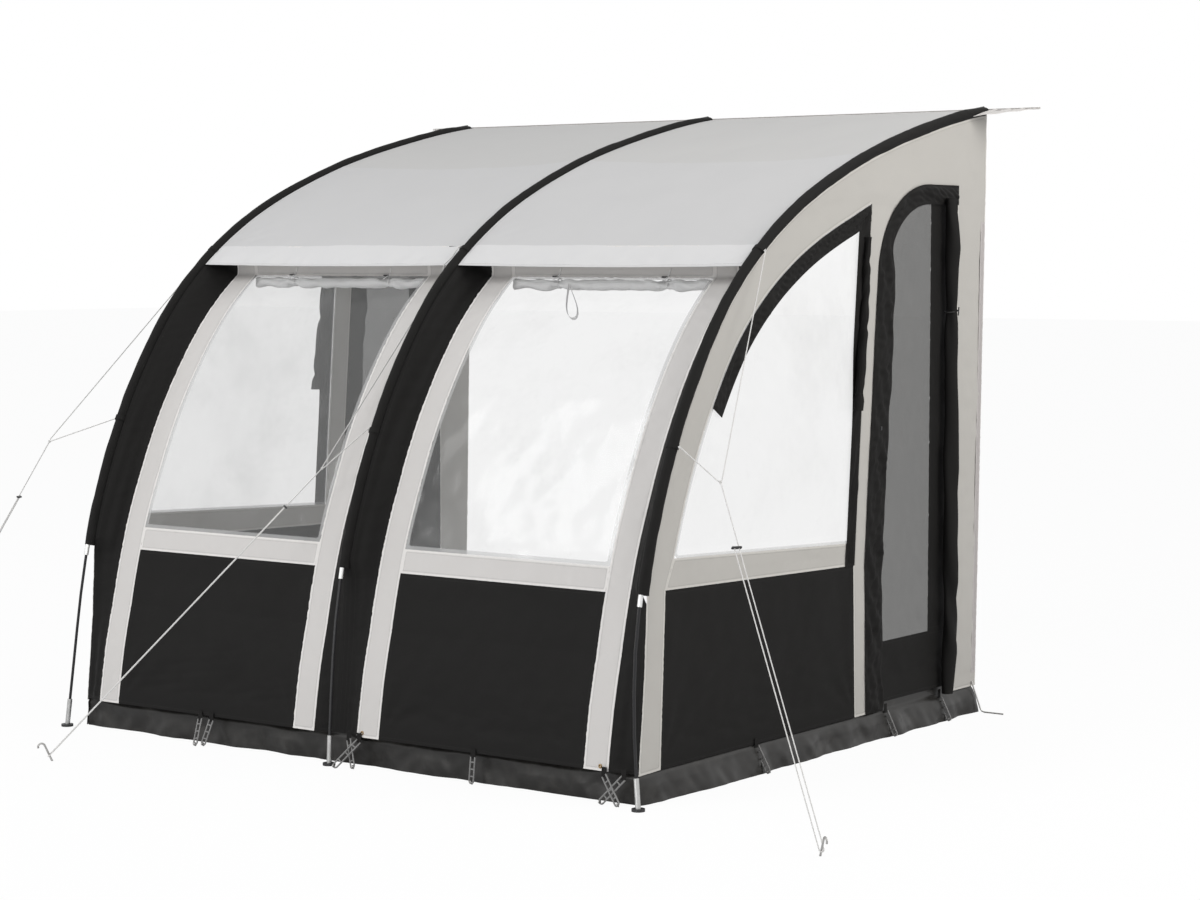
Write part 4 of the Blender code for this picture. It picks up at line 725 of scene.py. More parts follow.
bays = {"left": (-HALF_WIDTH, 0.0), "right": (0.0, HALF_WIDTH)}
for order, (name, (low_x, high_x)) in enumerate(bays.items()):
    seed, inset = 100 + 50 * order, GUSSET_WIDTH + STRIP_WIDTH
    inner = (low_x + inset, high_x - inset)
    clear = (inner[0] + GAP, inner[1] - GAP)
    top, band = HEM_AT + VISOR_LAP, (LOWER_TOP + GAP, LOWER_TOP + BAND_HEIGHT)
    frame_cuts = [
        front_patch((low_x + GUSSET_WIDTH, inner[0]), (FRONT_BOTTOM, top), (18, 270), strip_wrinkle(seed)),
        front_patch((inner[1], high_x - GUSSET_WIDTH), (FRONT_BOTTOM, top), (18, 270), strip_wrinkle(seed + 3)),
        front_patch(inner, band, (150, 16), strip_wrinkle(seed + 6)),
        front_patch(inner, (HEADER_AT + GAP, top), (130, 18), strip_wrinkle(seed + 9)),
    ]
    resting = ["gusset_cloth_" + name]
    strips = sew("front_strips_" + name, frame_cuts, pale_cloth, "front_frame_" + name, rests_on=resting)
    film = front_patch(clear, (band[1] + GAP, HEADER_AT), (110, 130), film_wrinkle(seed + 12))
    sew("front_film_" + name, [film], front_film, "front_window_" + name, rests_on=[strips], thick=0)
    lower = front_patch(clear, (FRONT_BOTTOM, LOWER_TOP), (150, 100), panel_wrinkle(seed + 15))
    sew("front_panel_" + name, [lower], black_cloth, "front_lower_" + name, rests_on=[strips])
    roll = [curtain_roll(*clear, seed + 18)]
    sew("curtain_" + name, roll, curtain_cloth_painted_light, "curtain_roll_" + name, [strips], thick=CURTAIN_THICK)

    bars, loops = [], []
    slant, angle, pinched = np.linspace(-1.1, 1, 9), np.linspace(0, 2 * math.pi, 29), CURTAIN_RADIUS * 0.75
    cord_at = HEADER_AT + 0.022 * slant
    bar_y, bar_z = arch(HEADER_AT - 0.001, front_depth(HEADER_AT) - 0.0035)
    loop_depth = front_depth(CURTAIN_AT) + CLOTH + CURTAIN_RADIUS - pinched * np.cos(angle)
    for share in CURTAIN_TIES:
        x = clear[0] + share * (clear[1] - clear[0])
        bars.append(toggle_bar((x - 0.012, float(bar_y), float(bar_z))))
        loops.append(tube_along(on_arch(x + 0.010 * slant, cord_at, front_depth(cord_at) - 0.0030), 0.0018, 8))
        loops.append(tube_along(on_arch(x, CURTAIN_AT + pinched * np.sin(angle), loop_depth), 0.0021, 8))
    make_piece("curtain_toggles_" + name, *join_meshes(bars), black_plastic)
    make_piece("curtain_ties_" + name, *join_meshes(loops), curtain_cloth_painted_light)

# The right bay's hanging loop: a tape folded in two and sewn to the roll, that hangs plumb.
LOOP_SHARE, LOOP_AT, LOOP_FALL = 0.307, 1.966, 0.122
around = np.linspace(0, 2 * math.pi, 70)[:, None]
fall = (1 - np.cos(around)) / 2
loop_x = clear[0] + LOOP_SHARE * (clear[1] - clear[0]) + 0.031 * np.sin(around) * (0.15 + fall) + 0.018 * fall
loop_y, loop_z = arch(LOOP_AT, front_depth(LOOP_AT) + 0.010 + np.linspace(-0.0055, 0.0055, 5)[None, :])
drop = grid(loop_x + np.linspace(-0.0008, 0.0008, 5)[None, :], loop_y, loop_z - LOOP_FALL * fall)
loop_tape = Patch(drop, None, (1, 0, 0), sewn=(False, False, False, False))
sew("curtain_loop", [loop_tape], curtain_cloth_painted_light, rests_on=["curtain_right"], thick=0.0009)

# Gussets: black cloth between each arch and the pale strips beside it. It is sewn to the
# sleeve above, and closes round the bare pole below the ferrule.

SLEEVE_START, SLEEVE_TUCK, TUCK_RUN = 0.730, 0.006, 0.055
CORNER_SET = 0.066
CORNER_SET_SHARES = [(0.0, 0.80), (0.13, 0.82), (0.40, 1.0), (0.60, 1.0), (0.80, 0.60), (0.93, 0.15), (1.0, 0.0)]


def corner_depth(along):
    """How far the walls' front edge lies behind the poles' line."""
    share = np.minimum(1.0, np.asarray(along, float) / SLEEVE_START)
    return WALL_SET + (CORNER_SET - WALL_SET) * by_table(CORNER_SET_SHARES, share)


def tuck(along):
    """Nought beside the sleeve and one below its foot."""
    return np.clip((SLEEVE_START - SLEEVE_TUCK - np.asarray(along, float)) / TUCK_RUN, 0, 1)


def beside_pole(along):
    """How far the cloth next to a pole lies behind the poles' line."""
    return WING_SET + (corner_depth(along) - WING_SET) * tuck(along)


def gusset_wrinkle(seed):
    """Long folds that run up the cloth, with short gathers at its seams."""
    def wrinkle(u, v, edge):
        long_folds = ripple(u, v, 0.07, seed, 16, 9.0) * 0.0016
        cross = ripple(u, v, 0.10, seed + 1, 14, 0.7) * 0.0009 * (0.5 + np.exp(-v / 0.25))
        return free(edge, 0.03) * (long_folds + cross + 0.0010 * crease(u, v, 0.20, seed + 2, 0.14))
    return wrinkle


def wing(sign, arch_x, closed, seed):
    """The cloth from the arch's edge to the strip: a straight line across at each height."""
    s = np.linspace(FRONT_BOTTOM, HEM_AT + VISOR_LAP, 290)[:, None]
    share = np.linspace(0, 1, 22)[None, :]
    near = SEAM_OFFSET + (closed - SEAM_OFFSET) * tuck(s)
    x = arch_x + sign * (near + share * (GUSSET_WIDTH - GAP - near))
    depth = beside_pole(s) + (front_depth(s) - beside_pole(s)) * share + CLOTH / 2
    return Patch(on_arch(x, s, depth), gusset_wrinkle(seed), (0, -1, 0.2))


for name, side in SIDES.items():
    cut = wing(-side, side * HALF_WIDTH, CLOTH / 2 + GAP, 301 + side)
    sew("gusset_cloth_" + name, [cut], black_cloth, "gusset_" + name, rests_on=["pole_sleeve_" + name])
foot_s = np.linspace(FRONT_BOTTOM, SLEEVE_START - SLEEVE_TUCK, 90)[:, None]
foot_x = np.linspace(-SEAM_OFFSET, SEAM_OFFSET, 16)[None, :]
foot = Patch(on_arch(foot_x, foot_s, beside_pole(foot_s) + CLOTH / 2), None, (0, -1, 0.2))
wings = [wing(sign, 0.0, SEAM_OFFSET, 320 + sign) for sign in (-1, 1)]
sew("gusset_cloth_center", [*wings, foot], black_cloth, "gusset_center", rests_on=["pole_sleeve_center"])

# Side walls: pale polyester cut flat in each end arch, with a window of clear film, a black
# lower panel and a doorway. One long strip follows the arch and closes over the doorway, and
# a padded band runs down the rear strip.

WALL_BOTTOM, WALL_REAR, REAR_LEAN, LAP = 0.100, RAIL_Y - 0.012, 0.055, 0.012
BAR_LOW_FRONT, BAR_LOW_REAR, BAR_TOP_FRONT, BAR_TOP_REAR = 0.690, 0.660, 0.798, 0.742
DOOR_TOP, DOOR_REAR, DOOR_RADIUS, DOOR_RADIUS_ACROSS = 2.025, 0.980, 0.320, 0.350
POST_AT, POST_LEAN, POST_WIDTH = 0.235, 0.090, 0.100
POST_LEAN_SHARES = [(0.0, 0.0), (0.32, -0.2), (0.44, 0.0), (0.72, 0.5), (1.0, 1.05)]
WINDOW_SET_SHARES = [(0.45, 0.0), (0.55, 0.3), (0.70, 1.0)]
OVERLAY_SET = CLOTH + GAP


def post_line(z):
    """The y of the strip's front edge between window and doorway, at a height."""
    return POST_AT + POST_LEAN * by_table(POST_LEAN_SHARES, np.asarray(z, float) / DOOR_TOP)


def side_band(along):
    """How far the side window's arc lies behind the pole's line."""
    return 0.155 + 0.030 * by_table(WINDOW_SET_SHARES, np.asarray(along, float) / float(ARCH_S[-1]))


def bar_top(y):
    """The height of the crossbar's slanting upper edge at y."""
    start = float(arch(SLEEVE_START)[0])
    return BAR_TOP_FRONT + (BAR_TOP_REAR - BAR_TOP_FRONT) * (y - start) / (POST_AT - start)


def corner_y(along):
    """The y of the wall's front edge at a distance along the pole."""
    return float(arch(along, corner_depth(along))[0])


def strip_line(z):
    """The y of the front strip's rear edge, below the crossbar."""
    low, high = corner_y(WALL_BOTTOM) + 0.123, corner_y(BAR_LOW_FRONT) + 0.105
    return low + (high - low) * (np.asarray(z, float) - WALL_BOTTOM) / (BAR_LOW_FRONT - WALL_BOTTOM)


def window_span(depth, inset):
    """Where the window's arc starts at the crossbar and ends at the post."""
    fine = np.linspace(SLEEVE_START, ROOF_END, 4000)
    y, z = arch(fine, side_band(fine) + depth)
    return float(fine[np.argmax(z - bar_top(y) > 0)]), float(fine[np.argmax(y - post_line(z) + inset > 0)])


def door_edge(z, outward):
    """The y of the doorway's front edge at a height: the strip's edge, then a quarter ellipse."""
    z, middle = np.asarray(z, float), DOOR_TOP - DOOR_RADIUS
    front = float(post_line(middle)) + POST_WIDTH
    rise = np.clip((z - middle) / (DOOR_RADIUS + outward), 0, 1)
    curved = front + DOOR_RADIUS_ACROSS - (DOOR_RADIUS_ACROSS + outward) * np.sqrt(1 - rise**2)
    return np.where(z > middle, curved, post_line(z) + POST_WIDTH - outward)


def walk(points, count):
    """Points at even distances along a line of points."""
    points = np.asarray(points, float)
    run = distance_along(points)
    at = np.linspace(0, run[-1], count)
    return np.stack([np.interp(at, run, points[:, k]) for k in range(points.shape[1])], axis=-1)


def on_post(z, inset=0.0):
    """Points y, z on the post's front edge or before it."""
    return grid(post_line(z) - inset, z)


def ruled(side, first, last, columns, wrinkle, out=0.0, sewn=(True, True, True, True)):
    """A flat cut in a side wall: straight rows between two lines of y and z."""
    share = np.linspace(0, 1, columns)[None, :, None]
    flat = first[:, None, :] * (1 - share) + last[:, None, :] * share
    x = np.full(flat.shape[:2] + (1,), side * (HALF_WIDTH + out))
    return Patch(np.concatenate([x, flat], axis=2), wrinkle, (side, 0, 0), sewn=sewn)


def side_wrinkle(seed, size=0.0016, inward=0.0):
    """A tight sheet: slow waves that lean along it, puckers at its seams, and some inward set."""
    def wrinkle(u, v, edge):
        pucker = np.exp(-edge / 0.016) * ripple(u, v, 0.030, seed, 20) * 0.0004
        slow = ripple(u, v, 0.30, seed + 1, stretch=1.8) + 0.45 * ripple(u, v, 0.11, seed + 2)
        return pucker + free(edge, 0.05) * (size * slow - inward)
    return wrinkle


ARC_LOW, ARC_HIGH = window_span(0.0, 0.0)
wall_cloth = cloth_finish("wall_polyester", "wall_cloth", (0.475, 0.460, 0.430), 0.75, 0.03, 2.4)


def wall_edges():
    """The strip's outer and inner lines in matched spans: foot, crossbar's end, window's arc,
    the post's head, over the doorway, and on to the rear edge."""
    top_y, top_z = arch(ROOF_END, WALL_SET)
    back_y, back_z = arch(ROOF_END - 0.02, WALL_SET)
    rear = (WALL_REAR, float(top_z + (top_z - back_z) / (top_y - back_y) * (WALL_REAR - top_y)))
    arc_end = arch(ARC_HIGH, side_band(ARC_HIGH))
    head_z = float(arc_end[1])

    def outer(low, high, count):
        s = np.linspace(low, high, count)
        return grid(*arch(s, np.where(s < SLEEVE_START, corner_depth(s), WALL_SET)))

    heights = np.linspace(WALL_BOTTOM, BAR_LOW_FRONT, 90)
    corner = np.array(arch(ARC_LOW, side_band(ARC_LOW)))
    notch = np.array([float(strip_line(BAR_LOW_FRONT)), BAR_LOW_FRONT])
    arc = np.linspace(ARC_LOW, ARC_HIGH, 260)
    rise = head_z + (DOOR_TOP - head_z) * np.sin(np.linspace(0, 1, 400) * math.pi / 2)
    over = np.concatenate([grid(door_edge(rise, 0.0), rise), [(DOOR_REAR, DOOR_TOP)]])
    above, meet = (
        float(np.interp(y, arch(ARCH_S, WALL_SET)[0], ARCH_S)) for y in (DOOR_REAR, door_edge(head_z, 0.0) - 0.02)
    )
    meet = max(meet, ARC_HIGH + 0.02)
    inside = [
        grid(strip_line(heights), heights),
        walk([notch, corner], 18)[1:],
        grid(*arch(arc, side_band(arc)))[1:],
        walk([arc_end, (float(door_edge(head_z, 0.0)), head_z)], 16)[1:],
        walk(over, 90)[1:],
        walk([(DOOR_REAR, DOOR_TOP), (WALL_REAR - 0.002, DOOR_TOP)], 30)[1:],
    ]
    outside = [
        outer(WALL_BOTTOM, BAR_LOW_FRONT, 90),
        outer(BAR_LOW_FRONT, ARC_LOW, 18)[1:],
        outer(ARC_LOW, ARC_HIGH, 260)[1:],
        outer(ARC_HIGH, meet, 16)[1:],
        outer(meet, above, 90)[1:],
        walk(np.concatenate([outer(above, ROOF_END, 20), [rear]]), 30)[1:],
    ]
    link = sum(map(len, inside[:3]))
    return np.concatenate(outside), np.concatenate(inside), head_z, (link - 1, link + 15)


mesh_screen = Finish("mesh_screen", (0.060, 0.059, 0.056), 0.8, "mesh_screen", Specular_IOR_Level=0.2)
yarns = [(mesh_screen.part(mesh_screen.cloth_map(), axis) * (math.pi / 0.0018)).math("SINE") for axis in (0, 1)]
holes = (yarns[0] * yarns[1]).math("ABSOLUTE")
net_cloud = mesh_screen.noise(mesh_screen.spot(), 7.0, 4.0)
mesh_screen.feed("Alpha", 0.94 - mesh_screen.ramp(holes, 0.35, 0.75) * 0.22)
mesh_screen.feed("Base Color", mesh_screen.tint(net_cloud, (0.050, 0.050, 0.047, 1.0), (0.072, 0.071, 0.067, 1.0)))
mesh_screen.relief(holes, 0.0003, 0.5)

side_film = film_finish(
    "side_film", (0.50, 0.50, 0.49), 0.7, (1.8, 4.0, 0.6), 24.0, (0.20, 0.40, 0.14, 0.05, 0.40), (0.05, 0.06)
)
band_cloth = cloth_finish("band_polyester", "wall_cloth", (0.440, 0.415, 0.405), 0.8, 0.04, 1.2)


def band_wrinkle(u, v, edge):
    """A padded band drawn up by its seams: short slanting puckers that fade to its edges."""
    return free(edge, 0.008) * 0.0014 * (0.5 + 0.5 * ripple(u * 2.0 + v, v, 0.034, 77, 14))


outside_line, inside_line, HEAD_Z, LINK_ROWS = wall_edges()
one_end_joined = (True, True, True, False)
for order, (name, side) in enumerate(SIDES.items()):
    seed = 400 + 60 * order
    row = np.arange(len(outside_line))[:, None]
    whole = (row > LINK_ROWS[0]) & (row < LINK_ROWS[1]) | (row > len(row) - 30)
    long_strip = ruled(side, outside_line, inside_line, 13, side_wrinkle(seed), sewn=(True, ~whole, True, True))
    share = np.linspace(0, 1, 130)[:, None]
    low_start = np.array([float(strip_line(BAR_LOW_FRONT)), BAR_LOW_FRONT])
    high_start = np.array(arch(ARC_LOW, side_band(ARC_LOW)))
    bar_low = low_start + share * (on_post(BAR_LOW_REAR) - low_start)
    bar_high = high_start + share * (on_post(BAR_TOP_REAR) - high_start)
    crossbar = ruled(side, bar_low, bar_high, 18, side_wrinkle(seed + 5))
    tall = np.linspace(WALL_BOTTOM, HEAD_Z + LAP, 360)
    post_rear = grid(door_edge(tall, 0.0), tall)
    post = ruled(side, on_post(tall), post_rear, 16, side_wrinkle(seed + 10, 0.0012), -GAP, one_end_joined)
    rear_z = np.linspace(WALL_BOTTOM, DOOR_TOP + LAP, 220)
    rear_y = WALL_REAR - REAR_LEAN * (1 - (rear_z - WALL_BOTTOM) / (DOOR_TOP + 0.30 - WALL_BOTTOM))
    rear_y = rear_y + (WALL_REAR - 0.002 - rear_y[-1])
    rear_line = grid(rear_y, rear_z)
    rear = ruled(side, grid(DOOR_REAR, rear_z), rear_line, 14, side_wrinkle(seed + 15), -GAP, one_end_joined)
    wall_cuts, resting = [long_strip, crossbar, post, rear], ["pole_sleeve_" + name]
    strips = sew("side_wall_" + name, wall_cuts, wall_cloth, "wall_" + name, rests_on=resting)
    band_lines = [grid(rear_y - inset, rear_z)[6:-14] for inset in (0.036, 0.004)]
    padding = ruled(side, *band_lines, 10, band_wrinkle, 0.0016)
    sew("rear_band_" + name, [padding], band_cloth, rests_on=[strips], thick=0.0006)

    glass_s = np.linspace(ARC_LOW, ARC_HIGH, 150)
    arc_line = grid(*arch(glass_s, side_band(glass_s) + GAP))
    post_side = [on_post(BAR_TOP_REAR, GAP) + (0.0, GAP), *on_post(np.linspace(0.75, HEAD_Z, 60), GAP)]
    chord = walk([arc_line[0], *post_side], 150)
    film = ruled(side, arc_line[1:-1], chord[1:-1], 70, side_wrinkle(seed + 20, 0.0016, 0.004))
    sew("side_film_" + name, [film], side_film, "side_window_" + name, rests_on=[strips], thick=0)

    share = np.linspace(0, 1, 92)[:, None]
    front_low = np.array([float(strip_line(WALL_BOTTOM)) + GAP, WALL_BOTTOM])
    front_high = np.array([float(strip_line(BAR_LOW_FRONT)) + GAP, BAR_LOW_FRONT - GAP])
    rear_edge = on_post(WALL_BOTTOM + share[:, 0] * (BAR_LOW_REAR - GAP - WALL_BOTTOM), GAP)
    lower = ruled(side, front_low + share * (front_high - front_low), rear_edge, 130, panel_wrinkle(seed + 25))
    sew("side_panel_" + name, [lower], black_cloth, "side_lower_" + name, rests_on=[strips])

# Doors: a leaf of insect mesh with a black foot and a black border before its hinge, and a
# slack black trim sewn round the doorway, whose cloth door is rolled up by the hinge and tied.

black_tape = Finish("black_tape", (0.015, 0.0145, 0.014), 0.75, "black_cloth")
tape_grain = black_tape.noise(black_tape.spot(), 700.0, 3.0)
black_tape.feed("Roughness", 0.66 + tape_grain * 0.2)
black_tape.relief(tape_grain, 0.0003, 0.5)
DOOR_SILL, DOOR_FOOT_TOP, LEAF_TRIM, HINGE_BORDER, HINGE_AT = 0.130, 0.357, 0.003, 0.772, DOOR_REAR - 0.0009
TRIM_OUT, TRIM_IN, TRIM_SLACK = 0.025, 0.050, 0.046
DOOR_ROLL, ROLL_FLATNESS, ROLL_AT, ROLL_FOOT, TIED_AT = 0.047, 0.72, 0.885, 0.106, 0.774
TRIM_THICK = 0.0008


def leaf_patch(side, low, high, cells, wrinkle, rear=HINGE_AT):
    """Straight rows from the leaf's free edge to a line before its hinge; they crowd towards
    the leaf's top, where its edge turns over."""
    t = np.linspace(0, 1, cells[1])
    z = low + (high - low) * (np.sin(t * math.pi / 2) if high > DOOR_FOOT_TOP else t)
    return ruled(side, grid(door_edge(z, -LEAF_TRIM), z), grid(rear, z), cells[0], wrinkle)


def wound(t, turns, radius, seed, ties, depth):
    """Cross-sections of a cloth roll: the radius grows evenly with the turns, and is pinched
    by a bell curve at each tie with slanting folds beside it. Gives two offsets."""
    turn = np.linspace(0.14, 1, turns * 20)[None, :]
    angle = 2 * math.pi * turns * turn
    near = np.min([np.abs(t - c) for c in ties], axis=0)
    pinch = 1 - depth * np.exp(-((near / 0.030) ** 2))
    folds = 0.05 * ripple(t, angle * 0.02, 0.16, seed) + 0.12 * np.exp(-near / 0.07) * np.sin(2 * angle + 35 * t)
    lean = np.sin(3 * angle + 21 * t + 4 * np.sin(5 * t + seed))
    folds = folds + 0.10 * lean * (0.4 + 0.6 * np.sin(11 * t + seed) ** 2)
    size = np.minimum(radius * turn * pinch * (0.90 + folds), radius * 0.99)
    return size * np.cos(angle), size * np.sin(angle)


def slack_wrinkle(seed, lean, size, standing, crumple, run):
    """Slack cloth over the wall: long folds that lean along it and stand off the wall, with
    small crumples. Lean gives how far the folds follow u and v."""
    def wrinkle(u, v, edge):
        fold = 0.5 + 0.5 * ripple(u * lean[0] + v * lean[1], v, size, seed, *standing[:2])
        small = crumple[0] * ripple(u, v, crumple[1], seed + 1)
        return 0.0026 + free(edge, run) * (standing[2] * np.clip(fold, 0, standing[3]) + small)
    return wrinkle


for order, (name, side) in enumerate(SIDES.items()):
    seed, leaf, leaf_body = 600 + 60 * order, "door_leaf_" + name, "door_leaf_" + name
    leaf_top = DOOR_TOP - LEAF_TRIM - 0.0005
    net = leaf_patch(side, DOOR_FOOT_TOP, leaf_top, (70, 230), side_wrinkle(seed, 0.0016, 0.003), HINGE_BORDER)
    sew("door_mesh_" + name, [net], mesh_screen, leaf, body=leaf_body, thick=0)
    foot_part = leaf_patch(side, DOOR_SILL, DOOR_FOOT_TOP, (110, 50), panel_wrinkle(seed + 5, 0.0016))
    tall = np.linspace(DOOR_FOOT_TOP, leaf_top, 230)
    border_lines = [grid(y, tall) for y in (HINGE_BORDER, HINGE_AT)]
    border = ruled(side, *border_lines, 20, side_wrinkle(seed + 7, 0.0012, 0.002))
    sew("door_foot_" + name, [foot_part, border], black_cloth, leaf, body=leaf_body)

    middle = DOOR_TOP - DOOR_RADIUS
    tall = np.linspace(WALL_BOTTOM, middle, 270)
    bend = np.linspace(math.pi, math.pi / 2, 60)
    head = float(post_line(middle)) + POST_WIDTH + DOOR_RADIUS_ACROSS
    slack = np.interp(tall, [0.1, 1.0, 1.55, middle], [TRIM_SLACK, 0.052, 0.056, TRIM_SLACK])
    slack = slack + 0.004 * ripple(tall, tall, 0.22, seed + 8) * np.clip((middle - tall) / 0.1, 0, 1)
    loose = TRIM_SLACK * free(bend - 5 * math.pi / 6, math.pi / 6)
    lines = []
    for outward, hangs in ((TRIM_OUT, 0), (-TRIM_IN, 1)):
        straight = grid(post_line(tall) + POST_WIDTH - outward + hangs * slack, tall)
        arc_y = head + (DOOR_RADIUS_ACROSS + outward) * np.cos(bend) + hangs * loose
        arc = grid(arc_y, middle + (DOOR_RADIUS + outward) * np.sin(bend))
        over = walk([arc[-1], (DOOR_REAR, DOOR_TOP + outward)], 40)
        lines.append(np.concatenate([straight, arc[1:], over[1:]]))
    flap_wrinkle = slack_wrinkle(seed + 9, (1.4, 0.5), 0.13, (16, 2.6, 0.0080, 1.4), (0.0016, 0.05), 0.018)
    trim = ruled(side, *lines, 22, flap_wrinkle, OVERLAY_SET)
    t = np.linspace(0, 1, 250)[:, None]
    swell = np.interp(t, [0.0, 0.10, 0.45, 0.78, 0.90, 1.0], [0.72, 1.0, 0.98, 0.80, 1.0, 0.62])
    out, across = wound(t, 3, DOOR_ROLL, seed + 12, (TIED_AT, 0.20), 0.22)
    roll_height = DOOR_TOP - TRIM_IN / 2 - ROLL_FOOT
    centre_x = HALF_WIDTH + OVERLAY_SET + ROLL_FLATNESS * DOOR_ROLL * swell
    roll_x = side * (centre_x + ROLL_FLATNESS * out * swell)
    roll = Patch(grid(roll_x, ROLL_AT + across * swell, ROLL_FOOT + t * roll_height))
    flap, resting = "door_flap_" + name, ["side_wall_" + name]
    sew("door_roll_" + name, [roll, trim], black_cloth, flap, resting, thick=TRIM_THICK)

    tie_z = ROLL_FOOT + TIED_AT * roll_height
    angle, t = np.linspace(0, 2 * math.pi, 49), np.linspace(-1, 1, 13)
    ring_x = side * (HALF_WIDTH + OVERLAY_SET + 0.025 + 0.0235 * np.cos(angle))
    ring = grid(ring_x, ROLL_AT + 0.0325 * np.sin(angle), tie_z + 0.004 * np.sin(angle))
    make_piece("door_tie_" + name, *tube_along(ring, 0.0022, 8), black_tape)
    bar = grid(side * (HALF_WIDTH + 0.0535), ROLL_AT + 0.010 + 0.002 * t, tie_z + 0.016 * t)
    make_piece("door_toggle_" + name, *tube_along(bar, 0.0026, 8), black_plastic)
    refinish("zip_pull_" + name, black_plastic)

# Side blinds: black cloth gathered along the window's arc and post. Its free part is rolled
# down the post and tied.

BLIND_FOOT_AT, BLIND_WIDTH, BLIND_POST_WIDTH = 1.42, 0.065, 0.080
BLIND_ROLL, ROLL_TOP_SHARE, ROLL_LOW_SHARE = 0.024, 0.9136, 0.605
for order, (name, side) in enumerate(SIDES.items()):
    seed = 800 + 60 * order
    arc_s = np.linspace(BLIND_FOOT_AT, ARC_HIGH, 200)
    inner_s = np.linspace(BLIND_FOOT_AT, window_span(BLIND_WIDTH, BLIND_POST_WIDTH)[1], 200)
    outer_arc = grid(*arch(arc_s, side_band(arc_s)))
    inner_arc = grid(*arch(inner_s, side_band(inner_s) + BLIND_WIDTH))
    down = np.linspace(0, 1, 200)
    outer_z, inner_z = (arc[-1][1] + (BAR_LOW_REAR - arc[-1][1]) * down for arc in (outer_arc, inner_arc))
    outer_line = np.concatenate([outer_arc, on_post(outer_z)[1:]])
    narrowed = BLIND_POST_WIDTH * (1 - 0.22 * free(down - 0.30, 0.3))
    inner_line = np.concatenate([inner_arc, on_post(inner_z, narrowed)[1:]])
    blind_wrinkle = slack_wrinkle(seed, (1.2, 0.4), 0.11, (18, 2.4, 0.0065, 1.5), (0.0014, 0.04), 0.015)
    band = ruled(side, outer_line, inner_line, 22, blind_wrinkle, OVERLAY_SET)
    t = np.linspace(0, 1, 220)[:, None]
    size = 0.7 + 0.3 * t
    out, across = wound(t, 3, BLIND_ROLL, seed + 6, (0.14, 0.52, 0.9), 0.26)
    z = DOOR_TOP * (ROLL_TOP_SHARE - t * (ROLL_TOP_SHARE - ROLL_LOW_SHARE))
    centre_x = HALF_WIDTH + OVERLAY_SET + BLIND_ROLL * size
    centre_y = post_line(z) - BLIND_POST_WIDTH / 2 - 0.040 * t * t / 2
    roll = Patch(grid(side * (centre_x + out * size), centre_y + across * size, z))
    blind, resting = "side_blind_" + name, ["side_wall_" + name]
    sew("side_blind_cloth_" + name, [roll, band], black_cloth, blind, resting, thick=TRIM_THICK)

# Mud skirts: soft dark film sewn behind the walls' feet, that spreads out on the ground in
# loose folds and keeps wind and splashes out.

skirt_film = Finish("skirt_film", (0.0135, 0.0125, 0.0110), 0.30, "skirt_film", Specular_IOR_Level=0.40)
pull_marks = skirt_film.noise(skirt_film.stretched((6.0, 6.0, 40.0)), 1.0, 4.0)
dust = skirt_film.noise(skirt_film.spot(), 14.0, 5.0, 0.65)
dusty = skirt_film.ramp(dust, 0.45, 0.8)
skirt_film.feed("Base Color", skirt_film.tint(dusty, (0.0115, 0.0105, 0.0092, 1.0), (0.028, 0.0262, 0.0232, 1.0)))
skirt_film.feed("Roughness", 0.24 + dust * 0.22)
skirt_film.relief(pull_marks * 0.8 + dust * 0.2, 0.0010, 0.35)
SKIRT_TOP, SKIRT_PITCH, SKIRT_WAVE, SKIRT_THICK = 0.1285, 0.310, 0.005, 0.0005
FRONT_REACH, SIDE_REACH, END_SHARE = 0.006, 0.028, 0.14
SKIRT_FLARE_SHARES = [(0.0, 0.0), (0.2, 0.0), (0.55, 0.55), (1.0, 1.0)]


def skirt_patch(line, outward, reach, seed):
    """A hanging strip: down from a line of x and y, flaring outward by a table of heights,
    with folds that grow from nought at the sewn top to the ground."""
    share = np.linspace(0, 1, 28)[:, None]
    run = distance_along(line)[None, :]
    coarse, fine = ripple(run, share * 0.16, 0.24, seed, 16), ripple(run, share * 0.12, 0.08, seed + 1, 16)
    z = SKIRT_TOP * (1 - share) + 0 * run + 0.0008
    hangs, sewn_in = np.clip((0.098 - z) / 0.045, 0, 1), 0.006 * np.clip((z - 0.088) / 0.012, 0, 1)
    folds = (0.0034 * coarse + 0.0010 * fine) * hangs
    push = reach[None, :] * by_table(SKIRT_FLARE_SHARES, share) + folds - sewn_in
    return Patch(grid(line[:, 0] + outward[0] * push, line[:, 1] + outward[1] * push, z), None, (*outward, 0.0))


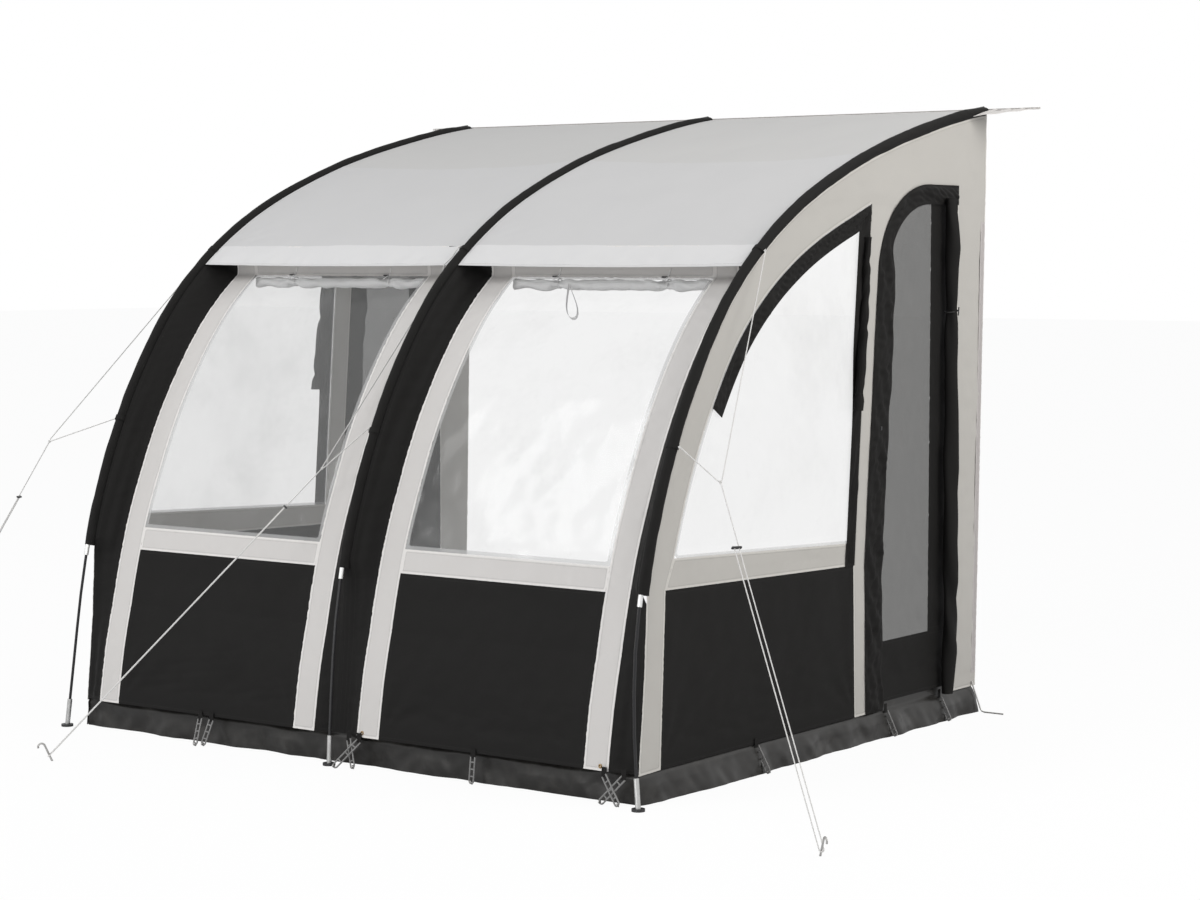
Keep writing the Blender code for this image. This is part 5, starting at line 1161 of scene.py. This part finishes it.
front_y = max(float(arch(SKIRT_TOP, depth(SKIRT_TOP))[0]) for depth in (front_depth, corner_depth)) + 2 * CLOTH
x = np.linspace(0.001 - HALF_WIDTH, HALF_WIDTH - 0.001, 760)
draw = np.minimum(1.0, np.minimum(np.abs(np.abs(x) - HALF_WIDTH), np.abs(x)) / SKIRT_PITCH)
reach = FRONT_REACH * draw + SKIRT_WAVE * np.sin(2 * math.pi * x / SKIRT_PITCH) * draw
cut = skirt_patch(grid(x, front_y), (0.0, -1.0), reach, 901)
sew("mud_skirt_front", [cut], skirt_film, "skirt_front", ["front_panel_left"], thick=SKIRT_THICK)
for name, side in SIDES.items():
    start, stop = corner_y(WALL_BOTTOM) + 0.002, WALL_REAR - REAR_LEAN - 0.020
    y = np.linspace(start, stop, 640)
    grow = np.sin(np.minimum(1.0, (y - start) / SKIRT_PITCH) * math.pi / 2)
    reach = SIDE_REACH * (END_SHARE + (1 - END_SHARE) * grow)
    reach = reach + SKIRT_WAVE * np.sin(2 * math.pi * (y - start) / SKIRT_PITCH)
    cut = skirt_patch(grid(side * (HALF_WIDTH - CLOTH / 2 - GAP), y), (float(side), 0.0), reach, 910 + side)
    skirt, resting = "skirt_" + name, ["side_panel_" + name]
    sew("mud_skirt_" + name, [cut], skirt_film, skirt, resting, thick=SKIRT_THICK)

# Storm ropes: white braided cord. A bridle runs from a loop high on each sleeve through a
# ring to a loop lower down, and from the ring one line goes through a slider round a peg.

ROPE_RADIUS, STRAND_SPACING, RING_TURN_RADIUS = 0.002, 0.016, 0.009
UPPER_LOOP_AT, LOWER_LOOP_AT, LOOP_RADIUS, LOOP_HALF_WIDTH = 2.035, 1.200, 0.0214, 0.009
CLEARANCE, PEG_HOLD = 0.008, 0.022
RINGS = {"left": (-1.617, -1.000, 1.065), "center": (-0.188, -1.009, 1.026), "right": (1.457, -0.918, 1.053)}
PEGS = {"left": (-2.150, -1.300, 0.0), "center": (-0.844, -1.726, 0.0), "right": (2.150, -1.400, 0.0)}


def unit(vector):
    """The same direction with length one."""
    return np.asarray(vector, float) / np.linalg.norm(vector)


def loop_point(side, along, standoff=CLEARANCE):
    """Where a rope leaves its loop: beside an outer sleeve, left of the center one's front."""
    turn = side * math.pi / 2 if side else -math.pi / 4
    reach = SLEEVE_RADIUS + standoff
    y, z = arch(along, SLEEVE_SET - reach * math.cos(turn))
    return np.array([side * HALF_WIDTH + reach * math.sin(turn), float(y), float(z)])


def before_gusset(point):
    """A point of the center bridle, moved forward where it would pass through the cloth."""
    near = int(np.argmin(np.hypot(ARCH[:, 0] - point[1], ARCH[:, 1] - point[2])))
    along, (y, z), (ty, tz) = float(ARCH_S[near]), ARCH[near], unit(ARCH_TURN[near])
    depth = (point[1] - y) * tz - (point[2] - z) * ty
    share = np.clip((abs(point[0]) - SEAM_OFFSET) / (GUSSET_WIDTH - SEAM_OFFSET), 0, 1)
    limit = WING_SET + (float(front_depth(along)) - WING_SET) * share
    limit = min(limit, SLEEVE_SET) if along > HEM_AT - CLEARANCE else limit
    round_sleeve = SLEEVE_RADIUS + CLEARANCE
    if abs(point[0]) < round_sleeve:
        limit = min(limit, SLEEVE_SET - math.sqrt(round_sleeve**2 - point[0] ** 2) + CLEARANCE)
    if depth <= limit - CLEARANCE:
        return point
    return np.array([point[0], *map(float, arch(along, limit - CLEARANCE))])


def swing(centre, start, finish, count):
    """Points of an arc round a centre between two radius vectors of one length."""
    whole = math.acos(float(np.clip(np.dot(unit(start), unit(finish)), -1, 1)))
    t = np.linspace(0, 1, count)[:, None]
    return centre + (np.sin((1 - t) * whole) * start + np.sin(t * whole) * finish) / math.sin(whole)


def run_to(start, finish, count):
    """Points at even steps on a straight line."""
    return np.asarray(start) + np.linspace(0, 1, count)[:, None] * (np.asarray(finish) - np.asarray(start))


rope = Finish("white_cord", (0.72, 0.71, 0.69), 0.8, "rope")
braid = rope.node("ShaderNodeTexVoronoi", {"feature": "F1"}, {"Vector": rope.spot(), "Scale": 900.0}, 0)
rope.feed("Base Color", rope.tint(braid, (0.76, 0.75, 0.73, 1.0), (0.52, 0.51, 0.49, 1.0)))
rope.relief(braid, 0.0004, 0.8)


def lay_rope(name, route, stands_for):
    """A cord along its route, as one open line with a round section."""
    curve = bpy.data.curves.new(name, "CURVE")
    curve.dimensions, curve.bevel_depth, curve.bevel_resolution, curve.use_fill_caps = "3D", ROPE_RADIUS, 3, True
    line = curve.splines.new("POLY")
    line.points.add(len(route) - 1)
    line.points.foreach_set("co", np.concatenate([route, np.ones((len(route), 1))], axis=1).ravel())
    curve.materials.append(rope.material)
    piece = bpy.data.objects.new(name, curve)
    studio.collection.objects.link(piece)
    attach(piece, "tent")
    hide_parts(stands_for)


def knot(centre, axis, size):
    """A trefoil of rope: x, y, z = sin a + 2 sin 2a, cos a - 2 cos 2a, -sin 3a, turned to an axis."""
    a = np.linspace(0, 2 * math.pi, 73)
    axis = unit(axis)
    first = unit(np.cross(axis, (0.3, 0.2, 0.9)))
    second = np.cross(axis, first)
    flat = grid(np.sin(a) + 2 * np.sin(2 * a), np.cos(a) - 2 * np.cos(2 * a), -1.3 * np.sin(3 * a))
    path = np.asarray(centre) + size / 3 * (flat[:, :1] * first + flat[:, 1:2] * second + flat[:, 2:] * axis)
    return tube_along(path, ROPE_RADIUS * 0.9, 8)


for name, x in ARCHES.items():
    side, ring = int(np.sign(x)), np.array(RINGS[name])
    upper, lower = loop_point(side, UPPER_LOOP_AT), loop_point(side, LOWER_LOOP_AT)
    to_upper, to_lower = unit(upper - ring), unit(lower - ring)
    half = math.acos(float(np.dot(to_upper, to_lower))) / 2
    inward = unit(to_upper + to_lower)
    centre = ring + inward * RING_TURN_RADIUS
    corner = centre - inward * (RING_TURN_RADIUS / math.sin(half))
    first, last = (corner + way * (RING_TURN_RADIUS / math.tan(half)) for way in (to_upper, to_lower))
    bend = swing(centre, first - centre, last - centre, 13)
    down = run_to(upper, bend[0], 40)[:-1]
    if side == 0:
        down = np.array([before_gusset(point) for point in down])
    starts, ends = (loop_point(side, along, GAP) for along in (UPPER_LOOP_AT, LOWER_LOOP_AT))
    bridle = np.concatenate([[starts], down, bend, run_to(bend[-1], lower, 12)[1:], [ends]])
    lay_rope("storm_bridle_" + name, bridle, "guy_bridle_" + name)

    foot = np.array(PEGS[name]) + (0.0, 0.0, PEG_HOLD)
    direction = unit(foot - ring)
    across = unit(np.cross(direction, (0.0, 0.0, 1.0)))
    top = ring + direction * 0.0028
    half_step, ahead = across * STRAND_SPACING / 2, direction * STRAND_SPACING / 2
    hook = foot + half_step
    turn = np.concatenate([swing(hook, -half_step, ahead, 9), swing(hook, ahead, half_step, 9)[1:]])
    back = top + direction * (0.255 if side else 0.190) + across * STRAND_SPACING
    line = np.concatenate([run_to(top, turn[0], 30)[:-1], turn, run_to(turn[-1], back, 24)[1:]])
    lay_rope("storm_line_" + name, line, "guy_line_" + name)
    knots = [knot(ring + direction * 0.004, direction, 0.0042), knot(back, direction, 0.0040)]
    for tied, way in ((starts, upper - starts), (ends, lower - ends)):
        knots.append(knot(tied + unit(way) * 0.006, way, 0.0042))
    make_piece("rope_knots_" + name, *join_meshes(knots), rope)
    refinish("guy_slider_" + name, black_plastic)

    reach = 1.9 if side else 1.4
    angle, bands = np.linspace(-reach, reach, 40)[None, :], []
    for where in (UPPER_LOOP_AT, LOWER_LOOP_AT):
        s = np.linspace(where - LOOP_HALF_WIDTH, where + LOOP_HALF_WIDTH, 8)[:, None]
        points = on_arch(x + LOOP_RADIUS * np.sin(angle), s, SLEEVE_SET - LOOP_RADIUS * np.cos(angle))
        bands.append(Patch(points, None, (0, -1, 1)))
    sew("rope_loops_" + name, bands, black_cloth, rests_on=["pole_sleeve_" + name], thick=0.0008)

# Pegging: grey rubber ladders on webbing tabs hold the hem down to short steel pegs, and
# two brass eyelets are punched in the strips of the right bay.

rubber = Finish("grey_rubber", (0.20, 0.197, 0.192), 0.5, "black_plastic")
bloom = rubber.noise(rubber.spot(), 180.0, 3.0)
rubber.feed("Base Color", rubber.tint(bloom, (0.13, 0.128, 0.124, 1.0), (0.27, 0.266, 0.260, 1.0)))
rubber.relief(bloom, 0.0003, 0.4)
brass = Finish("brass", (0.55, 0.38, 0.17), 0.35, "steel", Metallic=1.0)
tarnish = brass.noise(brass.spot(), 400.0, 3.0)
brass.feed("Roughness", 0.25 + tarnish * 0.3)
brass.feed("Base Color", brass.tint(tarnish, (0.13, 0.08, 0.03, 1.0), (0.38, 0.25, 0.11, 1.0)))

TAB_LOW, TAB_HIGH, STRAP_TOP, STRAP_FOOT = 0.088, 0.122, 0.094, 0.0056
EYELET_RADIUS, EYELET_AT, EYELETS = 0.0050, 0.123, (0.124, 1.152)
FRONT_STRAPS = [
    (-0.655, -0.635, -1.216),
    (-0.598, -0.612, -1.199),
    (0.115, 0.055, -1.233),
    (0.068, 0.121, -1.208),
    (0.625, 0.625, -1.169),
    (1.172, 1.242, -1.188),
    (1.250, 1.167, -1.184),
]
SIDE_STRAPS = [(-0.435, 0.052), (0.450, 0.046), (0.859, 0.048)]


def ladder(top, foot, width=0.0090, rungs=3):
    """Two round rails from the tab to the ground, round at the foot, joined by rungs."""
    top, foot = np.asarray(top, float), np.asarray(foot, float)
    along = unit(foot - top)
    on_front = abs(along[0]) > abs(along[1]) or abs(top[0]) < 1.28
    across = unit(np.cross(along, (0.0, 1.0, 0.0) if on_front else (1.0, 0.0, 0.0)))
    angle = np.linspace(0, math.pi, 17)[:, None]
    end = foot - along * width
    bend = end + width * (np.cos(angle) * -across + np.sin(angle) * along)
    rails = [run_to(top - across * width, bend[0], 12)[:-1], bend, run_to(bend[-1], top + across * width, 12)[1:]]
    parts = [tube_along(np.concatenate(rails), 0.0030, 8)]
    for share in np.linspace(0.22, 0.82, rungs):
        middle = top + (end - top) * share
        parts.append(tube_along(run_to(middle - across * width, middle + across * width, 5), 0.0026, 8))
    return parts


def short_peg(foot, lean):
    """A bent rod: up out of the ground, over the strap's loop and down again."""
    lean = unit((*lean, 0.0))
    angle = np.linspace(0, math.pi, 13)[:, None]
    up = np.array([0.0, 0.0, 1.0])
    base = np.asarray(foot, float) + (0.0, 0.0, 0.001)
    crown = base + up * 0.009 + lean * 0.005
    hook = crown - 0.005 * np.cos(angle) * lean + 0.004 * np.sin(angle) * up
    path = np.concatenate([run_to(base, hook[0], 6)[:-1], hook, run_to(hook[-1], hook[-1] - up * 0.004, 4)[1:]])
    return tube_along(path, 0.0022, 10)


rubber_parts, peg_parts, tab_patches = [], [], []
tab_z, tab_wide = np.linspace(TAB_LOW, TAB_HIGH, 8)[:, None], np.linspace(-0.010, 0.010, 8)[None, :]
start_y = float(arch(FRONT_BOTTOM, front_depth(FRONT_BOTTOM))[0]) - 0.0035
for top_x, foot_x, foot_y in FRONT_STRAPS:
    foot_y = min(foot_y, start_y - 0.012)
    rubber_parts += ladder((top_x, start_y - 0.002, STRAP_TOP), (foot_x, foot_y, STRAP_FOOT))
    peg_parts.append(short_peg((foot_x, foot_y + 0.004, 0.0), (0.0, -1.0)))
    tab_y = np.interp(tab_z, [TAB_LOW, TAB_HIGH], [start_y - 0.0022, start_y - 0.0002])
    tab_patches.append(Patch(grid(top_x + tab_wide, tab_y, tab_z), None, (0, -1, 0)))
for side in (-1, 1):
    for strap_y, reach in SIDE_STRAPS:
        start_x, foot_x, foot_y = side * (HALF_WIDTH + 0.0035), side * (HALF_WIDTH + reach), strap_y + 0.006
        rubber_parts += ladder((start_x + side * 0.002, strap_y, STRAP_TOP), (foot_x, foot_y, STRAP_FOOT))
        peg_parts.append(short_peg((side * (HALF_WIDTH + reach - 0.004), foot_y, 0.0), (float(side), 0.0)))
        tab_patches.append(Patch(grid(start_x + side * 0.001, strap_y + tab_wide, tab_z), None, (side, 0, 0)))
make_piece("peg_ladders", *join_meshes(rubber_parts), rubber)
make_piece("ladder_pegs", *join_meshes(peg_parts), steel)
sew("peg_tabs", tab_patches, black_cloth, rests_on=["front_panel_left"], thick=0.0010)

angle, eyelet_depth, eyelets = np.linspace(0, 2 * math.pi, 33), front_depth(EYELET_AT) - 0.0004, []
for x in EYELETS:
    rim = on_arch(x + EYELET_RADIUS * np.cos(angle), EYELET_AT + EYELET_RADIUS * np.sin(angle), eyelet_depth)
    eyelets.append(tube_along(rim, 0.0024, 10))
make_piece("strip_eyelets", *join_meshes(eyelets), brass)
